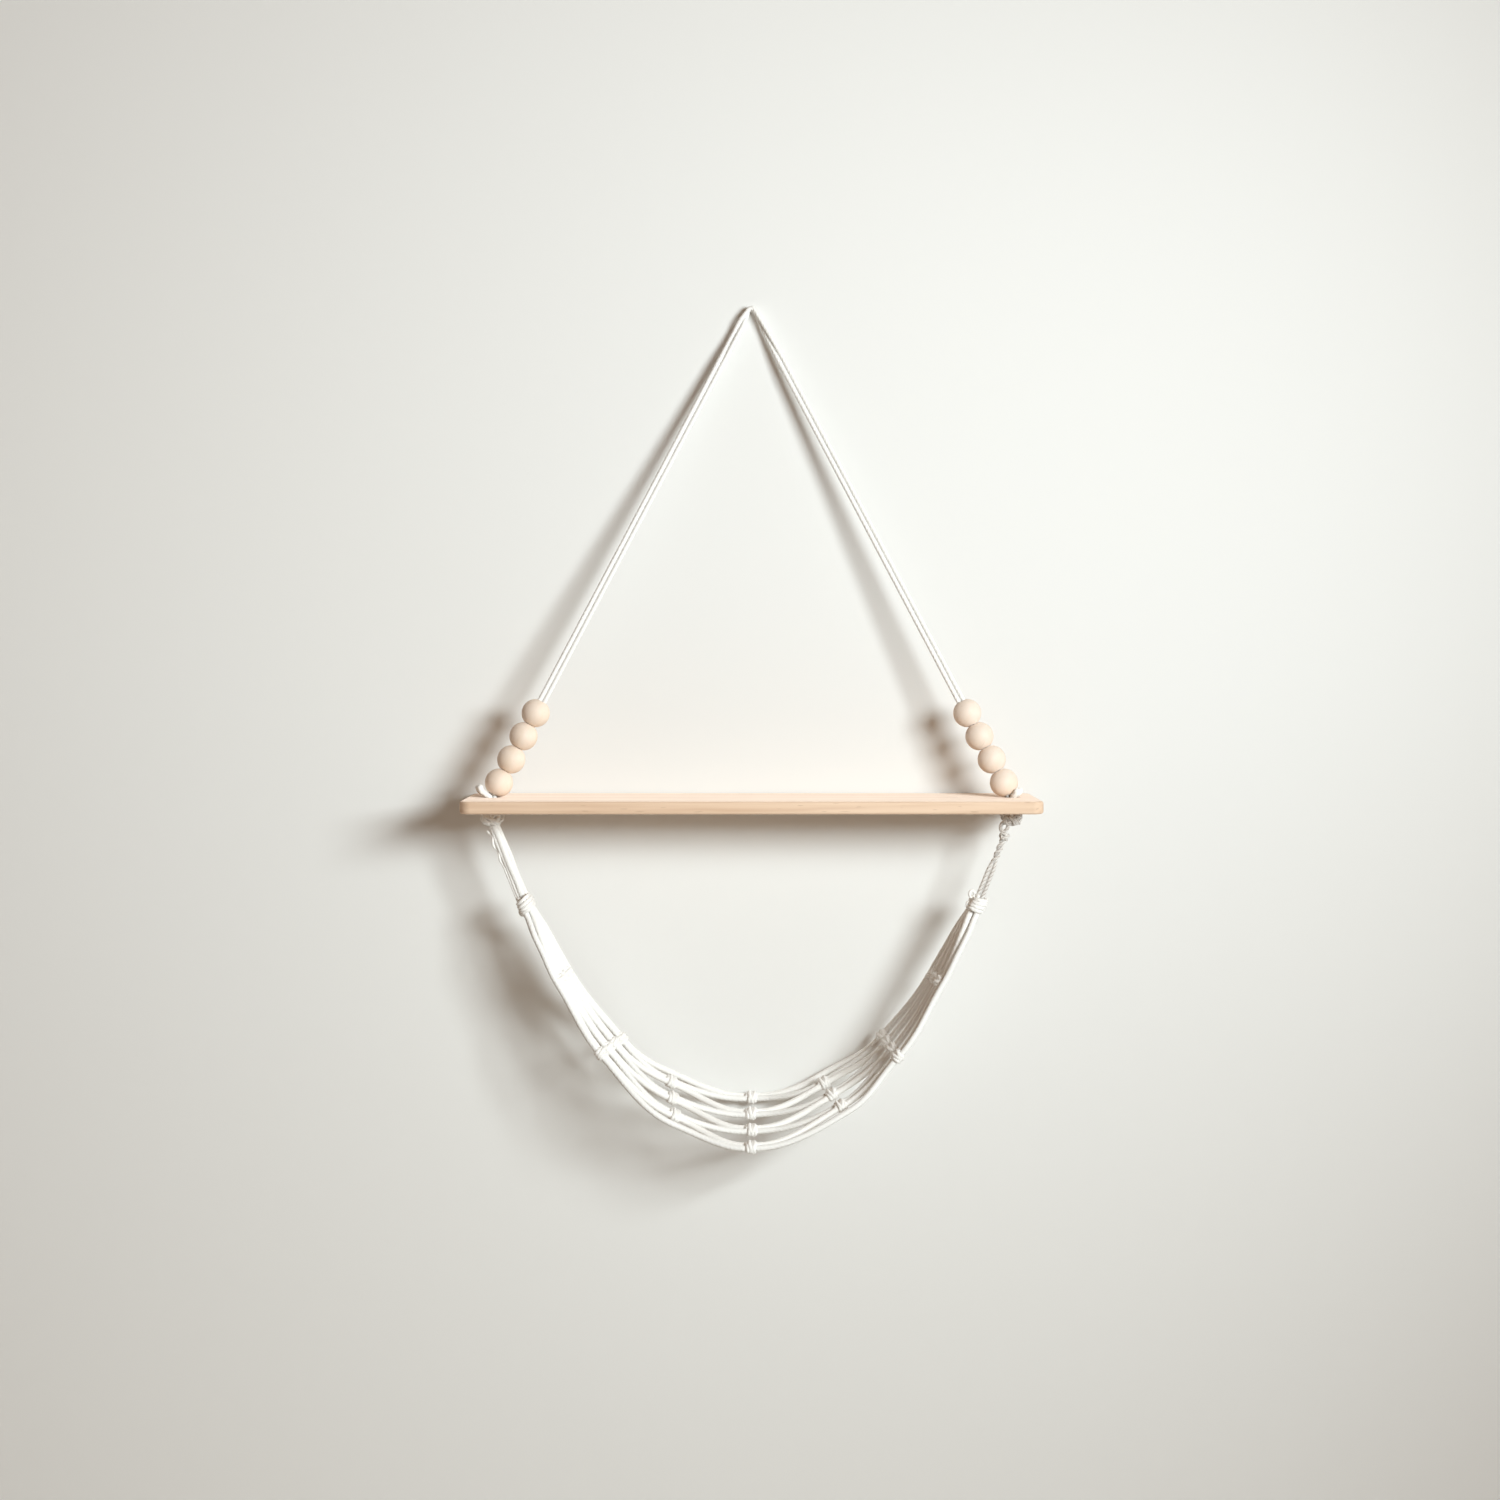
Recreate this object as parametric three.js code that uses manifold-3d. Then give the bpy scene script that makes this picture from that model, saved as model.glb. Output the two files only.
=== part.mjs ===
// A small wooden shelf that hangs by a doubled rope from one nail, with four beads on each
// leg of the rope and a knotted cord net slung under the board like a hammock.
// Lengths are in millimetres. X runs to the right along the board, Y into the wall, Z up.
// The origin is the axis of the nail that the rope hangs on.

import * as THREE from 'three';
import { mergeVertices } from 'three/addons/utils/BufferGeometryUtils.js';
import Module from 'manifold-3d';

const wasm = await Module();
wasm.setup();

// Board
const boardLength = 500;
const boardDepth = 120;
const boardThickness = 11;
const boardCornerRadius = 10;
const boardEdgeRadius = 2.2;
const holeRadius = 7;
const holeInset = 22;
const holeEasing = 0.8;

// Hanging rope, doubled over the nail
const hangHeight = 429;
const nailRadius = 1.5;
const ropeDiameter = 4;
const ropeBend = 5;
const leftTurnLength = 16;
const rightTurnLength = 60;

// Beads
const beadDiameter = 24.8;
const beadBoreRadius = 4.5;
const beadBoreEasing = 0.5;
const beadsPerLeg = 4;

// Stopper knots under the board, which the net swings on
const stopperDrop = 8;
const stopperHalfWidth = 8.3;
const stopperRadius = 5.5;
const stopperRingRadius = 6.4;
const stopperRingThickness = 4.4;

// Small loops of spare cord that stand out of the knots
const loopRadius = 2.4;
const loopCordDiameter = 2.8;

// Cord ends that come up through the holes and lie over beside the lowest beads
const tailSpread = 4.4;
const tailRise = 11.5;
const tailReach = 11.4;

// Sinnets between the stopper knots and the gathering knots
const sinnetWidth = 10.5;
const sinnetThickness = 7.2;
const sinnetRipple = 0.7;
const sinnetRippleLength = 9;
const twistStrandDiameter = 3.8;
const twistPitch = 21;
const twistLength = 28;
const crossingKnotRadius = 4.2;
const crossingKnotDrop = 16.5;
const topLoopRadius = 4.3;

// Net
const netHalfSpan = 198.5;
const gatherDrop = 93;
const netDrop = 299;
const netHalfWidth = 55;
const netCordDiameter = 5.6;
const netCordCount = 8;
const netKnotLength = 9;
const netKnotWrap = 1;
const gatherKnotLength = 16;
const gatherKnotWrap = 1.2;

// Room between pieces that touch on the real shelf, and how far cuts run past a face
const clearance = 0.3;
const swingClearance = 0.4;
const overrun = 1;

// Facets
const cordSides = 8;
const beadSegments = 18;
const beadArcSteps = 8;
const cornerSteps = 4;
const boardBevelSteps = 2;
const holeSides = 16;
const spanSteps = 3;
const netKnotSides = 8;
const gatherKnotSides = 12;
const bellySides = 14;
const bellyRings = 8;
const loopSides = 6;
const loopSteps = 10;
const nailArcSteps = 5;
const ropeTurnSteps = 6;
const ropeLegSteps = 6;
const ropeBendSteps = 4;
const tailSteps = 8;
const sinnetSides = 10;
const sinnetSteps = 18;
const twistSteps = 18;
const crossingSides = 10;
const crossingRings = 6;

// Places that follow from the sizes
const ropeRadius = ropeDiameter / 2;
const halfPair = (ropeDiameter + clearance) / 2;
const wallY = halfPair + ropeRadius + clearance;
const boardMidY = wallY - boardDepth / 2;
const boardTopZ = -hangHeight;
const boardBottomZ = boardTopZ - boardThickness;
const holeX = boardLength / 2 - holeInset;
const stopperZ = boardBottomZ - stopperDrop;
const gatherZ = boardTopZ - gatherDrop;
const netCordRadius = netCordDiameter / 2;
const netHalfPair = (netCordDiameter + clearance) / 2;
const gatherLift = netHalfPair * Math.sin(Math.PI / 3);

const sides = [
  ['left', -1],
  ['right', 1],
];
const xAxis = new THREE.Vector3(1, 0, 0);
const yAxis = new THREE.Vector3(0, 1, 0);
const zAxis = new THREE.Vector3(0, 0, 1);

// The legs lean forward from the nail to the board, in one plane with the X axis
const legSlope = new THREE.Vector3(0, -boardMidY, hangHeight).normalize();
const legFront = new THREE.Vector3().crossVectors(xAxis, legSlope);

// Materials
const beech = new THREE.MeshStandardMaterial({ color: 0xe8c9a6, roughness: 0.55, metalness: 0 });
const paleBeech = new THREE.MeshStandardMaterial({ color: 0xefd9bf, roughness: 0.6, metalness: 0 });
const cotton = new THREE.MeshStandardMaterial({ color: 0xf7f4ec, roughness: 0.95, metalness: 0 });

const shelf = new THREE.Group();

function addPiece(name, geometry, material) {
  const mesh = new THREE.Mesh(geometry, material);
  mesh.name = name;
  shelf.add(mesh);
  return mesh;
}

// Solids and cuts

function toSolid(geometry) {
  const bare = geometry.clone();
  bare.deleteAttribute('normal');
  bare.deleteAttribute('uv');
  const merged = mergeVertices(bare);
  const vertProperties = merged.attributes.position.array;
  const triVerts = new Uint32Array(merged.index.array);
  return new wasm.Manifold(new wasm.Mesh({ numProp: 3, vertProperties, triVerts }));
}

function toGeometry(solid) {
  const mesh = solid.getMesh();
  const geometry = new THREE.BufferGeometry();
  geometry.setAttribute('position', new THREE.BufferAttribute(mesh.vertProperties, 3));
  geometry.setIndex(new THREE.BufferAttribute(mesh.triVerts, 1));
  geometry.computeVertexNormals();
  return geometry;
}

function joinAll(geometries) {
  return geometries.map(toSolid).reduce((whole, solid) => whole.add(solid));
}

function cutAll(solid, cutters) {
  return cutters.map(toSolid).reduce((rest, cutter) => rest.subtract(cutter), solid);
}

// Tubes and lofts

/** A path whose stations are the given points, spread evenly over its parameter. */
class StationPath extends THREE.Curve {
  constructor(stations) {
    super();
    this.stations = stations;
  }

  getPoint(t, target = new THREE.Vector3()) {
    const last = this.stations.length - 1;
    const place = Math.min(Math.max(t, 0), 1) * last;
    const index = Math.min(Math.floor(place), last - 1);
    return target.lerpVectors(this.stations[index], this.stations[index + 1], place - index);
  }

  getPointAt(u, target) {
    return this.getPoint(u, target);
  }

  getTangentAt(u, target) {
    return this.getTangent(u, target);
  }
}

function roundSection(radius, sides) {
  const section = new THREE.Shape();
  for (let side = 0; side < sides; side += 1) {
    const angle = (2 * Math.PI * side) / sides;
    const place = [radius * Math.cos(angle), radius * Math.sin(angle)];
    if (side === 0) section.moveTo(...place);
    else section.lineTo(...place);
  }
  section.closePath();
  return section;
}

function tube(stations, diameter, sides = cordSides) {
  return new THREE.ExtrudeGeometry(roundSection(diameter / 2, sides), {
    steps: stations.length - 1,
    extrudePath: new StationPath(stations),
  });
}

/** A tube that clears a cord of that diameter all round, as a cutter. */
function sleeve(stations, diameter) {
  const widened = (diameter + 2 * clearance) / Math.cos(Math.PI / cordSides);
  return tube(stations, widened);
}

function ellipse(halfWide, halfHigh, sides) {
  return Array.from({ length: sides }, (_, side) => {
    const angle = (2 * Math.PI * side) / sides;
    return new THREE.Vector2(halfWide * Math.cos(angle), halfHigh * Math.sin(angle));
  });
}

/** Two half circles with a straight run between them. */
function stadium(halfRun, radius, sides) {
  return Array.from({ length: sides }, (_, side) => {
    const angle = (2 * Math.PI * (side + 1 / 2)) / sides;
    const shift = halfRun * Math.sign(Math.cos(angle));
    return new THREE.Vector2(radius * Math.cos(angle) + shift, radius * Math.sin(angle));
  });
}

function inFrame({ centre, across, up, along }, point, place) {
  return centre
    .clone()
    .addScaledVector(across, point.x)
    .addScaledVector(up, point.y)
    .addScaledVector(along, place);
}

function addWall(corners, near, far) {
  near.forEach((point, side) => {
    const next = (side + 1) % near.length;
    corners.push(point, near[next], far[next], point, far[next], far[side]);
  });
}

function addCap(corners, section, holes, points, faceBack) {
  for (const face of THREE.ShapeUtils.triangulateShape(section, holes)) {
    const order = faceBack ? [...face].reverse() : face;
    corners.push(...order.map((index) => points[index]));
  }
}

/** A closed skin over sections set along a frame's line, with straight holes right through. */
function loft(frame, sections, places, holes = []) {
  const last = places.length - 1;
  const ringAt = (section, index) => section.map((point) => inFrame(frame, point, places[index]));
  const rings = sections.map(ringAt);
  const bores = holes.map((hole) => [ringAt(hole, 0), ringAt(hole, last)]);
  const corners = [];
  for (let index = 0; index < last; index += 1) addWall(corners, rings[index], rings[index + 1]);
  for (const [near, far] of bores) addWall(corners, far, near);
  const nearPoints = [...rings[0], ...bores.flatMap(([near]) => near)];
  const farPoints = [...rings[last], ...bores.flatMap(([, far]) => far)];
  addCap(corners, sections[0], holes, nearPoints, true);
  addCap(corners, sections[last], holes, farPoints, false);
  const geometry = new THREE.BufferGeometry().setFromPoints(corners);
  geometry.computeVertexNormals();
  return geometry;
}

/** A wrapped knot: stadiums along a line of some length, with their radius in shares. */
function wrappedKnot(frame, length, halfRun, radius, shares, sides, holes = []) {
  const sections = shares.map((share) => stadium(halfRun, radius * share, sides));
  const places = shares.map((_, index) => length * (index / (shares.length - 1) - 1 / 2));
  return loft(frame, sections, places, holes);
}

/** A ball, or a body of revolution about X that is stretched by a factor along it. */
function ball(centre, radius, segments, rings, stretch = 1) {
  const geometry = new THREE.SphereGeometry(radius, segments, rings);
  geometry.rotateZ(Math.PI / 2);
  geometry.scale(stretch, 1, 1);
  geometry.translate(...centre.toArray());
  return geometry;
}

function torus(centre, axis, radius, thickness, sides, segments) {
  const geometry = new THREE.TorusGeometry(radius, thickness / 2, sides, segments);
  geometry.applyQuaternion(new THREE.Quaternion().setFromUnitVectors(zAxis, axis));
  geometry.translate(...centre.toArray());
  return geometry;
}

// Board

function roundedRectangle(halfLength, halfDepth, radius) {
  const outline = new THREE.Shape();
  const corners = [
    [halfLength - radius, halfDepth - radius, 0],
    [radius - halfLength, halfDepth - radius, 1],
    [radius - halfLength, radius - halfDepth, 2],
    [halfLength - radius, radius - halfDepth, 3],
  ];
  for (const [x, y, quarter] of corners) {
    for (let step = 0; step <= cornerSteps; step += 1) {
      const angle = (Math.PI / 2) * (quarter + step / cornerSteps);
      const place = [x + radius * Math.cos(angle), y + radius * Math.sin(angle)];
      if (quarter === 0 && step === 0) outline.moveTo(...place);
      else outline.lineTo(...place);
    }
  }
  outline.closePath();
  return outline;
}

function holeCutter(x) {
  const eased = holeRadius + holeEasing;
  const half = boardThickness / 2;
  const profile = [
    [0, -half - overrun],
    [eased + overrun, -half - overrun],
    [holeRadius, -half + holeEasing],
    [holeRadius, half - holeEasing],
    [eased + overrun, half + overrun],
    [0, half + overrun],
  ].map((place) => new THREE.Vector2(...place));
  const cutter = new THREE.LatheGeometry(profile, holeSides);
  cutter.rotateX(Math.PI / 2);
  cutter.translate(x, 0, 0);
  return cutter;
}

function addBoard() {
  const outline = roundedRectangle(
    boardLength / 2 - boardEdgeRadius,
    boardDepth / 2 - boardEdgeRadius,
    boardCornerRadius - boardEdgeRadius,
  );
  const plank = new THREE.ExtrudeGeometry(outline, {
    depth: boardThickness - 2 * boardEdgeRadius,
    bevelThickness: boardEdgeRadius,
    bevelSize: boardEdgeRadius,
    bevelSegments: boardBevelSteps,
  });
  plank.translate(0, 0, boardEdgeRadius - boardThickness / 2);
  const bored = cutAll(toSolid(plank), [holeCutter(-holeX), holeCutter(holeX)]);
  const board = addPiece('board', toGeometry(bored), beech);
  board.position.set(0, boardMidY, boardTopZ - boardThickness / 2);
}

// Rope route

/** The leg's straight line on one side: where it meets the board and the nail's bend. */
function legLine(side) {
  const foot = new THREE.Vector3(side * holeX, boardMidY, boardTopZ);
  const reach = foot.length();
  const bendRadius = nailRadius + ropeRadius;
  const footAngle = Math.atan2(foot.dot(legSlope), side * foot.x);
  const touchAngle = footAngle + Math.acos(bendRadius / reach);
  const top = new THREE.Vector3()
    .addScaledVector(xAxis, side * bendRadius * Math.cos(touchAngle))
    .addScaledVector(legSlope, bendRadius * Math.sin(touchAngle));
  const up = top.clone().sub(foot).normalize();
  const outward = new THREE.Vector3().crossVectors(up, legFront).multiplyScalar(side).normalize();
  return { foot, top, up, outward, bendRadius, touchAngle, length: top.distanceTo(foot) };
}

/** From the nail's top down one leg: the pair's middle line and the way its strands part. */
function legStations(side, turnLength) {
  const leg = legLine(side);
  const stations = [];
  for (let step = 0; step <= nailArcSteps; step += 1) {
    const angle = Math.PI / 2 + (leg.touchAngle - Math.PI / 2) * (step / nailArcSteps);
    const at = new THREE.Vector3()
      .addScaledVector(xAxis, side * leg.bendRadius * Math.cos(angle))
      .addScaledVector(legSlope, leg.bendRadius * Math.sin(angle));
    stations.push({ at, apart: legFront.clone() });
  }
  for (let step = 1; step <= ropeTurnSteps; step += 1) {
    const share = step / ropeTurnSteps;
    const turn = (Math.PI / 2) * share;
    const at = leg.top.clone().addScaledVector(leg.up, -turnLength * share);
    const apart = legFront.clone().multiplyScalar(Math.cos(turn));
    stations.push({ at, apart: apart.addScaledVector(leg.outward, Math.sin(turn)) });
  }
  const straight = leg.length - turnLength - ropeBend;
  for (let step = 1; step <= ropeLegSteps; step += 1) {
    const down = turnLength + straight * (step / ropeLegSteps);
    stations.push({ at: leg.top.clone().addScaledVector(leg.up, -down), apart: leg.outward });
  }
  return stations.concat(footStations(side, leg));
}

/** From the leg round into the hole and down to the middle of the stopper knot. */
function footStations(side, leg) {
  const start = leg.foot.clone().addScaledVector(leg.up, ropeBend);
  const end = leg.foot.clone().addScaledVector(zAxis, -ropeBend);
  const bend = new THREE.QuadraticBezierCurve3(start, leg.foot, end);
  const stations = [];
  for (let step = 1; step <= ropeBendSteps; step += 1) {
    const share = step / ropeBendSteps;
    const apart = leg.outward.clone().multiplyScalar(1 - share);
    apart.addScaledVector(xAxis, side * share).normalize();
    stations.push({ at: bend.getPoint(share), apart });
  }
  const knot = stopperCentre(side);
  stations.push({ at: knot, apart: xAxis.clone().multiplyScalar(side) });
  return stations;
}

function strand(stations, way) {
  return stations.map(({ at, apart }) => at.clone().addScaledVector(apart, way * halfPair));
}

function ropeStations(way) {
  const left = strand(legStations(-1, leftTurnLength), way).reverse();
  const right = strand(legStations(1, rightTurnLength), way);
  return left.concat(right.slice(1));
}

function addRopes() {
  addPiece('hang_rope_outer', tube(ropeStations(1), ropeDiameter), cotton);
  addPiece('hang_rope_inner', tube(ropeStations(-1), ropeDiameter), cotton);
}

/** Cutters for the two strands where they run straight down into the stopper knot. */
function ropeSleeves(side) {
  const bottom = stopperCentre(side).addScaledVector(zAxis, -clearance);
  const top = bottom.clone().setZ(boardBottomZ + boardThickness / 2);
  return [-1, 1].map((way) => {
    const shift = xAxis.clone().multiplyScalar(way * halfPair);
    return sleeve([bottom.clone().add(shift), top.clone().add(shift)], ropeDiameter);
  });
}

// Beads

function beadGeometry() {
  const radius = beadDiameter / 2;
  const mouth = beadBoreRadius + beadBoreEasing;
  const start = Math.asin(mouth / radius);
  const profile = [];
  for (let step = 0; step <= beadArcSteps; step += 1) {
    const angle = start + (Math.PI - 2 * start) * (step / beadArcSteps);
    profile.push(new THREE.Vector2(radius * Math.sin(angle), -radius * Math.cos(angle)));
  }
  const easedEnd = radius * Math.cos(start) - beadBoreEasing;
  profile.push(new THREE.Vector2(beadBoreRadius, easedEnd));
  profile.push(new THREE.Vector2(beadBoreRadius, -easedEnd));
  profile.push(profile[0].clone());
  return toGeometry(toSolid(new THREE.LatheGeometry(profile, beadSegments)));
}

function addBeads() {
  const radius = beadDiameter / 2;
  const mouth = beadBoreRadius + beadBoreEasing;
  const pitch = 2 * Math.sqrt(radius * radius - mouth * mouth) + clearance;
  for (const [sideName, side] of sides) {
    const leg = legLine(side);
    const lowest = (radius + clearance) / leg.up.z;
    for (let count = 0; count < beadsPerLeg; count += 1) {
      const bead = addPiece(`bead_${sideName}_${count + 1}`, beadGeometry(), paleBeech);
      bead.quaternion.setFromUnitVectors(yAxis, leg.up);
      bead.position.copy(leg.foot).addScaledVector(leg.up, lowest + count * pitch);
    }
  }
}

// Stopper knots

function stopperCentre(side) {
  return new THREE.Vector3(side * holeX, boardMidY, stopperZ);
}

/** The knot's belly, grown by a margin, turned true about the line that the net swings on. */
function stopperBelly(side, margin) {
  const radius = stopperRadius + margin;
  const stretch = (stopperHalfWidth + margin) / radius;
  return ball(stopperCentre(side), radius, bellySides, bellyRings, stretch);
}

function spareLoop(centre, acrossShare, backShare, upShare, axis) {
  const place = centre.clone();
  place.x += acrossShare * stopperHalfWidth;
  place.y += backShare * stopperHalfWidth;
  place.z += upShare * stopperHalfWidth;
  return torus(place, axis, loopRadius, loopCordDiameter, loopSides, loopSteps);
}

function addStopperKnots() {
  const loopShares = {
    left: [[-0.78, 0.22, 0.12], [0.82, 0.1, 0.3]],
    right: [[0.8, 0.24, 0.2], [-0.78, 0.12, 0.36]],
  };
  for (const [sideName, side] of sides) {
    const centre = stopperCentre(side);
    const ringPlace = centre.clone().setZ(boardBottomZ - clearance - stopperRingThickness / 2);
    const loops = loopShares[sideName].map((shares) => spareLoop(centre, ...shares, yAxis));
    const knot = joinAll([
      stopperBelly(side, 0),
      torus(ringPlace, zAxis, stopperRingRadius, stopperRingThickness, loopSides, bellySides),
      ...loops,
    ]);
    const bored = cutAll(knot, ropeSleeves(side));
    addPiece(`stopper_knot_${sideName}`, toGeometry(bored), cotton);
  }
}

// Cord tails on the board

// A tail's way out from the hole's middle, apart in depth and up, in shares of the full way
const tailShares = [
  [0.03, 0, -0.3],
  [0.15, 0.1, 0.06],
  [0.45, 0.5, 0.24],
  [0.85, 0.9, 0.52],
  [1, 1, 1],
];

// Each tail's way in depth, and its end's shares of the full reach, spread and rise
const tailEndShares = {
  left: { front: [-1, 0.65, 1.1, 1], back: [1, 1, 1.1, 0.92] },
  right: { front: [-1, 0.35, 2, 0.92], back: [1, 0.75, 1.1, 0.9] },
};

/** A cord end that comes up through the hole and bends over beside the lowest bead. */
function tailStations(side, [yWay, reachShare, spreadShare, riseShare]) {
  const hole = new THREE.Vector3(side * holeX, boardMidY, boardTopZ);
  hole.y += yWay * tailSpread;
  const foot = hole.clone().setZ(boardBottomZ);
  const points = tailShares.map(([outShare, apartShare, upShare]) => {
    const point = hole.clone();
    point.x += side * outShare * tailReach * reachShare;
    point.y += yWay * apartShare * tailSpread * (spreadShare - 1);
    point.z += upShare * tailRise * riseShare;
    return point;
  });
  return [foot, ...new THREE.CatmullRomCurve3(points).getSpacedPoints(tailSteps)];
}

function addTails() {
  for (const [sideName, side] of sides) {
    for (const [tailName, shares] of Object.entries(tailEndShares[sideName])) {
      const stations = tailStations(side, shares);
      addPiece(`cord_tail_${sideName}_${tailName}`, tube(stations, ropeDiameter), cotton);
    }
  }
}

// Net rows, as shares of the net's half span, drop and half width: each row's back end
// (across, down) and front end (across, down), its half width, and its number of knots
const rowShares = [
  { name: 'left_outer', back: [-0.813, 0.522], front: [-0.852, 0.537], width: 0.44, knots: 3 },
  { name: 'left_mid', back: [-0.583, 0.731], front: [-0.658, 0.737], width: 0.7, knots: 4 },
  { name: 'left_inner', back: [-0.37, 0.84], front: [-0.33, 0.936], width: 0.91, knots: 3 },
  { name: 'center', back: [0, 0.916], front: [0, 1], width: 1, knots: 4 },
  { name: 'right_inner', back: [0.306, 0.853], front: [0.41, 0.9], width: 0.91, knots: 3 },
  { name: 'right_mid', back: [0.589, 0.722], front: [0.641, 0.745], width: 0.7, knots: 4 },
  { name: 'right_outer', back: [0.797, 0.533], front: [0.841, 0.5375], width: 0.44, knots: 3 },
];

function rowEnd([acrossShare, downShare], y) {
  return new THREE.Vector3(
    acrossShare * netHalfSpan,
    boardMidY + y,
    boardTopZ - downShare * netDrop,
  );
}

function gatherCentre(side) {
  return new THREE.Vector3(side * netHalfSpan, boardMidY, gatherZ);
}

/** Each row's middle, its way across the net, its half width and the way the cords run. */
function netRows() {
  const rows = rowShares.map(({ name, back, front, width, knots }) => {
    const halfWidth = width * netHalfWidth;
    const backEnd = rowEnd(back, halfWidth);
    const frontEnd = rowEnd(front, -halfWidth);
    const middle = backEnd.clone().add(frontEnd).multiplyScalar(0.5);
    const across = backEnd.clone().sub(frontEnd).normalize();
    return { name, knots, middle, across, half: backEnd.distanceTo(frontEnd) / 2 };
  });
  const middles = [gatherCentre(-1), ...rows.map((row) => row.middle), gatherCentre(1)];
  rows.forEach((row, index) => {
    const run = middles[index + 2].clone().sub(middles[index]);
    row.along = run.addScaledVector(row.across, -run.dot(row.across)).normalize();
    row.up = new THREE.Vector3().crossVectors(row.along, row.across).normalize();
  });
  return rows;
}

/** Where each cord crosses a row, from the back edge to the front edge. */
function cordPlaces(row) {
  const edge = row.half - netHalfPair;
  const places = [];
  if (row.knots === netCordCount / 2) {
    for (let knot = 0; knot < row.knots; knot += 1) {
      const middle = edge * (1 - (2 * knot) / (row.knots - 1));
      places.push(middle + netHalfPair, middle - netHalfPair);
    }
    return places;
  }
  places.push(row.half);
  for (let knot = 0; knot < row.knots; knot += 1) {
    const middle = (edge * 2 * (1 - knot)) / (row.knots);
    places.push(middle + netHalfPair, middle - netHalfPair);
  }
  places.push(-row.half);
  return places;
}

/** The frame of a gathering knot: along runs from the net up to the sinnet. */
function gatherFrame(side) {
  const centre = gatherCentre(side);
  const outerRow = netRows()[side < 0 ? 0 : rowShares.length - 1];
  const along = centre.clone().sub(outerRow.middle).setY(0).normalize();
  const across = yAxis.clone();
  const up = new THREE.Vector3().crossVectors(along, across);
  return { centre, along, across, up };
}

/** A cord's end in the gathering knot, where the cords lie in two staggered layers. */
function gatherPlace(side, cord, reach) {
  const sideways = ((netCordCount - 1) / 2 - cord) * netHalfPair;
  const lift = cord % 2 === 0 ? gatherLift : -gatherLift;
  return inFrame(gatherFrame(side), new THREE.Vector2(sideways, side * lift), -reach);
}

// How far along, sideways and down to the row's level a cord has come where it leaves the knot
const splayShares = [
  [0.3, 0.62, 0.2],
  [0.65, 0.92, 0.7],
];

/** The straight stretch of a cord through a row, or its free crossing at the net's edge. */
function rowStretch(row, cord) {
  const place = cordPlaces(row)[cord];
  const middle = row.middle.clone().addScaledVector(row.across, place);
  const half = netKnotLength / 2 + clearance;
  return [-half, half].map((shift) => middle.clone().addScaledVector(row.along, shift));
}

/** Points between two straight stretches, leaving and joining them in their own directions. */
function spanPoints(before, after) {
  const start = before[1];
  const end = after[0];
  const pull = start.distanceTo(end) / 3;
  const leave = start.clone().sub(before[0]).setLength(pull).add(start);
  const join = end.clone().sub(after[1]).setLength(pull).add(end);
  const curve = new THREE.CubicBezierCurve3(start, leave, join, end);
  return curve.getPoints(spanSteps).slice(1, -1);
}

/** Points where a cord leaves its gathering knot, which spread sideways before they level. */
function splayPoints(side, exit, entry) {
  const { centre, up } = gatherFrame(side);
  const lift = exit.clone().sub(centre).dot(up);
  const level = exit.clone().addScaledVector(up, -lift);
  return splayShares.map(([alongShare, sideShare, levelShare]) => {
    const point = level.clone().lerp(entry, alongShare);
    point.y = THREE.MathUtils.lerp(exit.y, entry.y, sideShare);
    return point.addScaledVector(up, lift * (1 - levelShare));
  });
}

function netCordStations(cord) {
  const inKnot = gatherKnotLength / 2 + clearance;
  const ends = [-1, 1].map((side) => [gatherPlace(side, cord, 0), gatherPlace(side, cord, inKnot)]);
  const stretches = netRows().map((row) => rowStretch(row, cord));
  const stations = [...ends[0], ...splayPoints(-1, ends[0][1], stretches[0][0]), ...stretches[0]];
  for (let index = 1; index < stretches.length; index += 1) {
    stations.push(...spanPoints(stretches[index - 1], stretches[index]), ...stretches[index]);
  }
  const entry = stretches[stretches.length - 1][1];
  return [...stations, ...splayPoints(1, ends[1][1], entry).reverse(), ends[1][1], ends[1][0]];
}

function addNetCords() {
  for (let cord = 0; cord < netCordCount; cord += 1) {
    addPiece(`net_cord_${cord + 1}`, tube(netCordStations(cord), netCordDiameter), cotton);
  }
}

// Net knots

const netKnotShares = [0.84, 1, 0.84];

function addNetKnots() {
  for (const row of netRows()) {
    const places = cordPlaces(row);
    const first = row.knots === netCordCount / 2 ? 0 : 1;
    for (let knot = 0; knot < row.knots; knot += 1) {
      const pair = places.slice(first + 2 * knot, first + 2 * knot + 2);
      addNetKnot(`net_knot_${row.name}_${knot + 1}`, row, pair);
    }
  }
}

function addNetKnot(name, row, pair) {
  const centre = row.middle.clone().addScaledVector(row.across, (pair[0] + pair[1]) / 2);
  const frame = { ...row, centre };
  const bore = netCordRadius + clearance;
  const hole = stadium(netHalfPair, bore / Math.cos(Math.PI / netKnotSides), netKnotSides);
  const sizes = [netKnotLength, netHalfPair, bore + netKnotWrap];
  addPiece(name, wrappedKnot(frame, ...sizes, netKnotShares, netKnotSides, [hole]), cotton);
}

// Gathering knots

const gatherKnotShares = [0.94, 1, 0.96, 0.84, 0.6];

/** The gathering knot's outside, grown by a margin. */
function gatherBody(side, margin) {
  const halfRun = ((netCordCount - 1) / 2 - 1) * netHalfPair;
  const corner = Math.hypot(netHalfPair, gatherLift) + netCordRadius + clearance;
  const radius = corner + gatherKnotWrap + margin;
  const sizes = [gatherKnotLength + 2 * margin, halfRun, radius];
  return wrappedKnot(gatherFrame(side), ...sizes, gatherKnotShares, gatherKnotSides);
}

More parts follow.
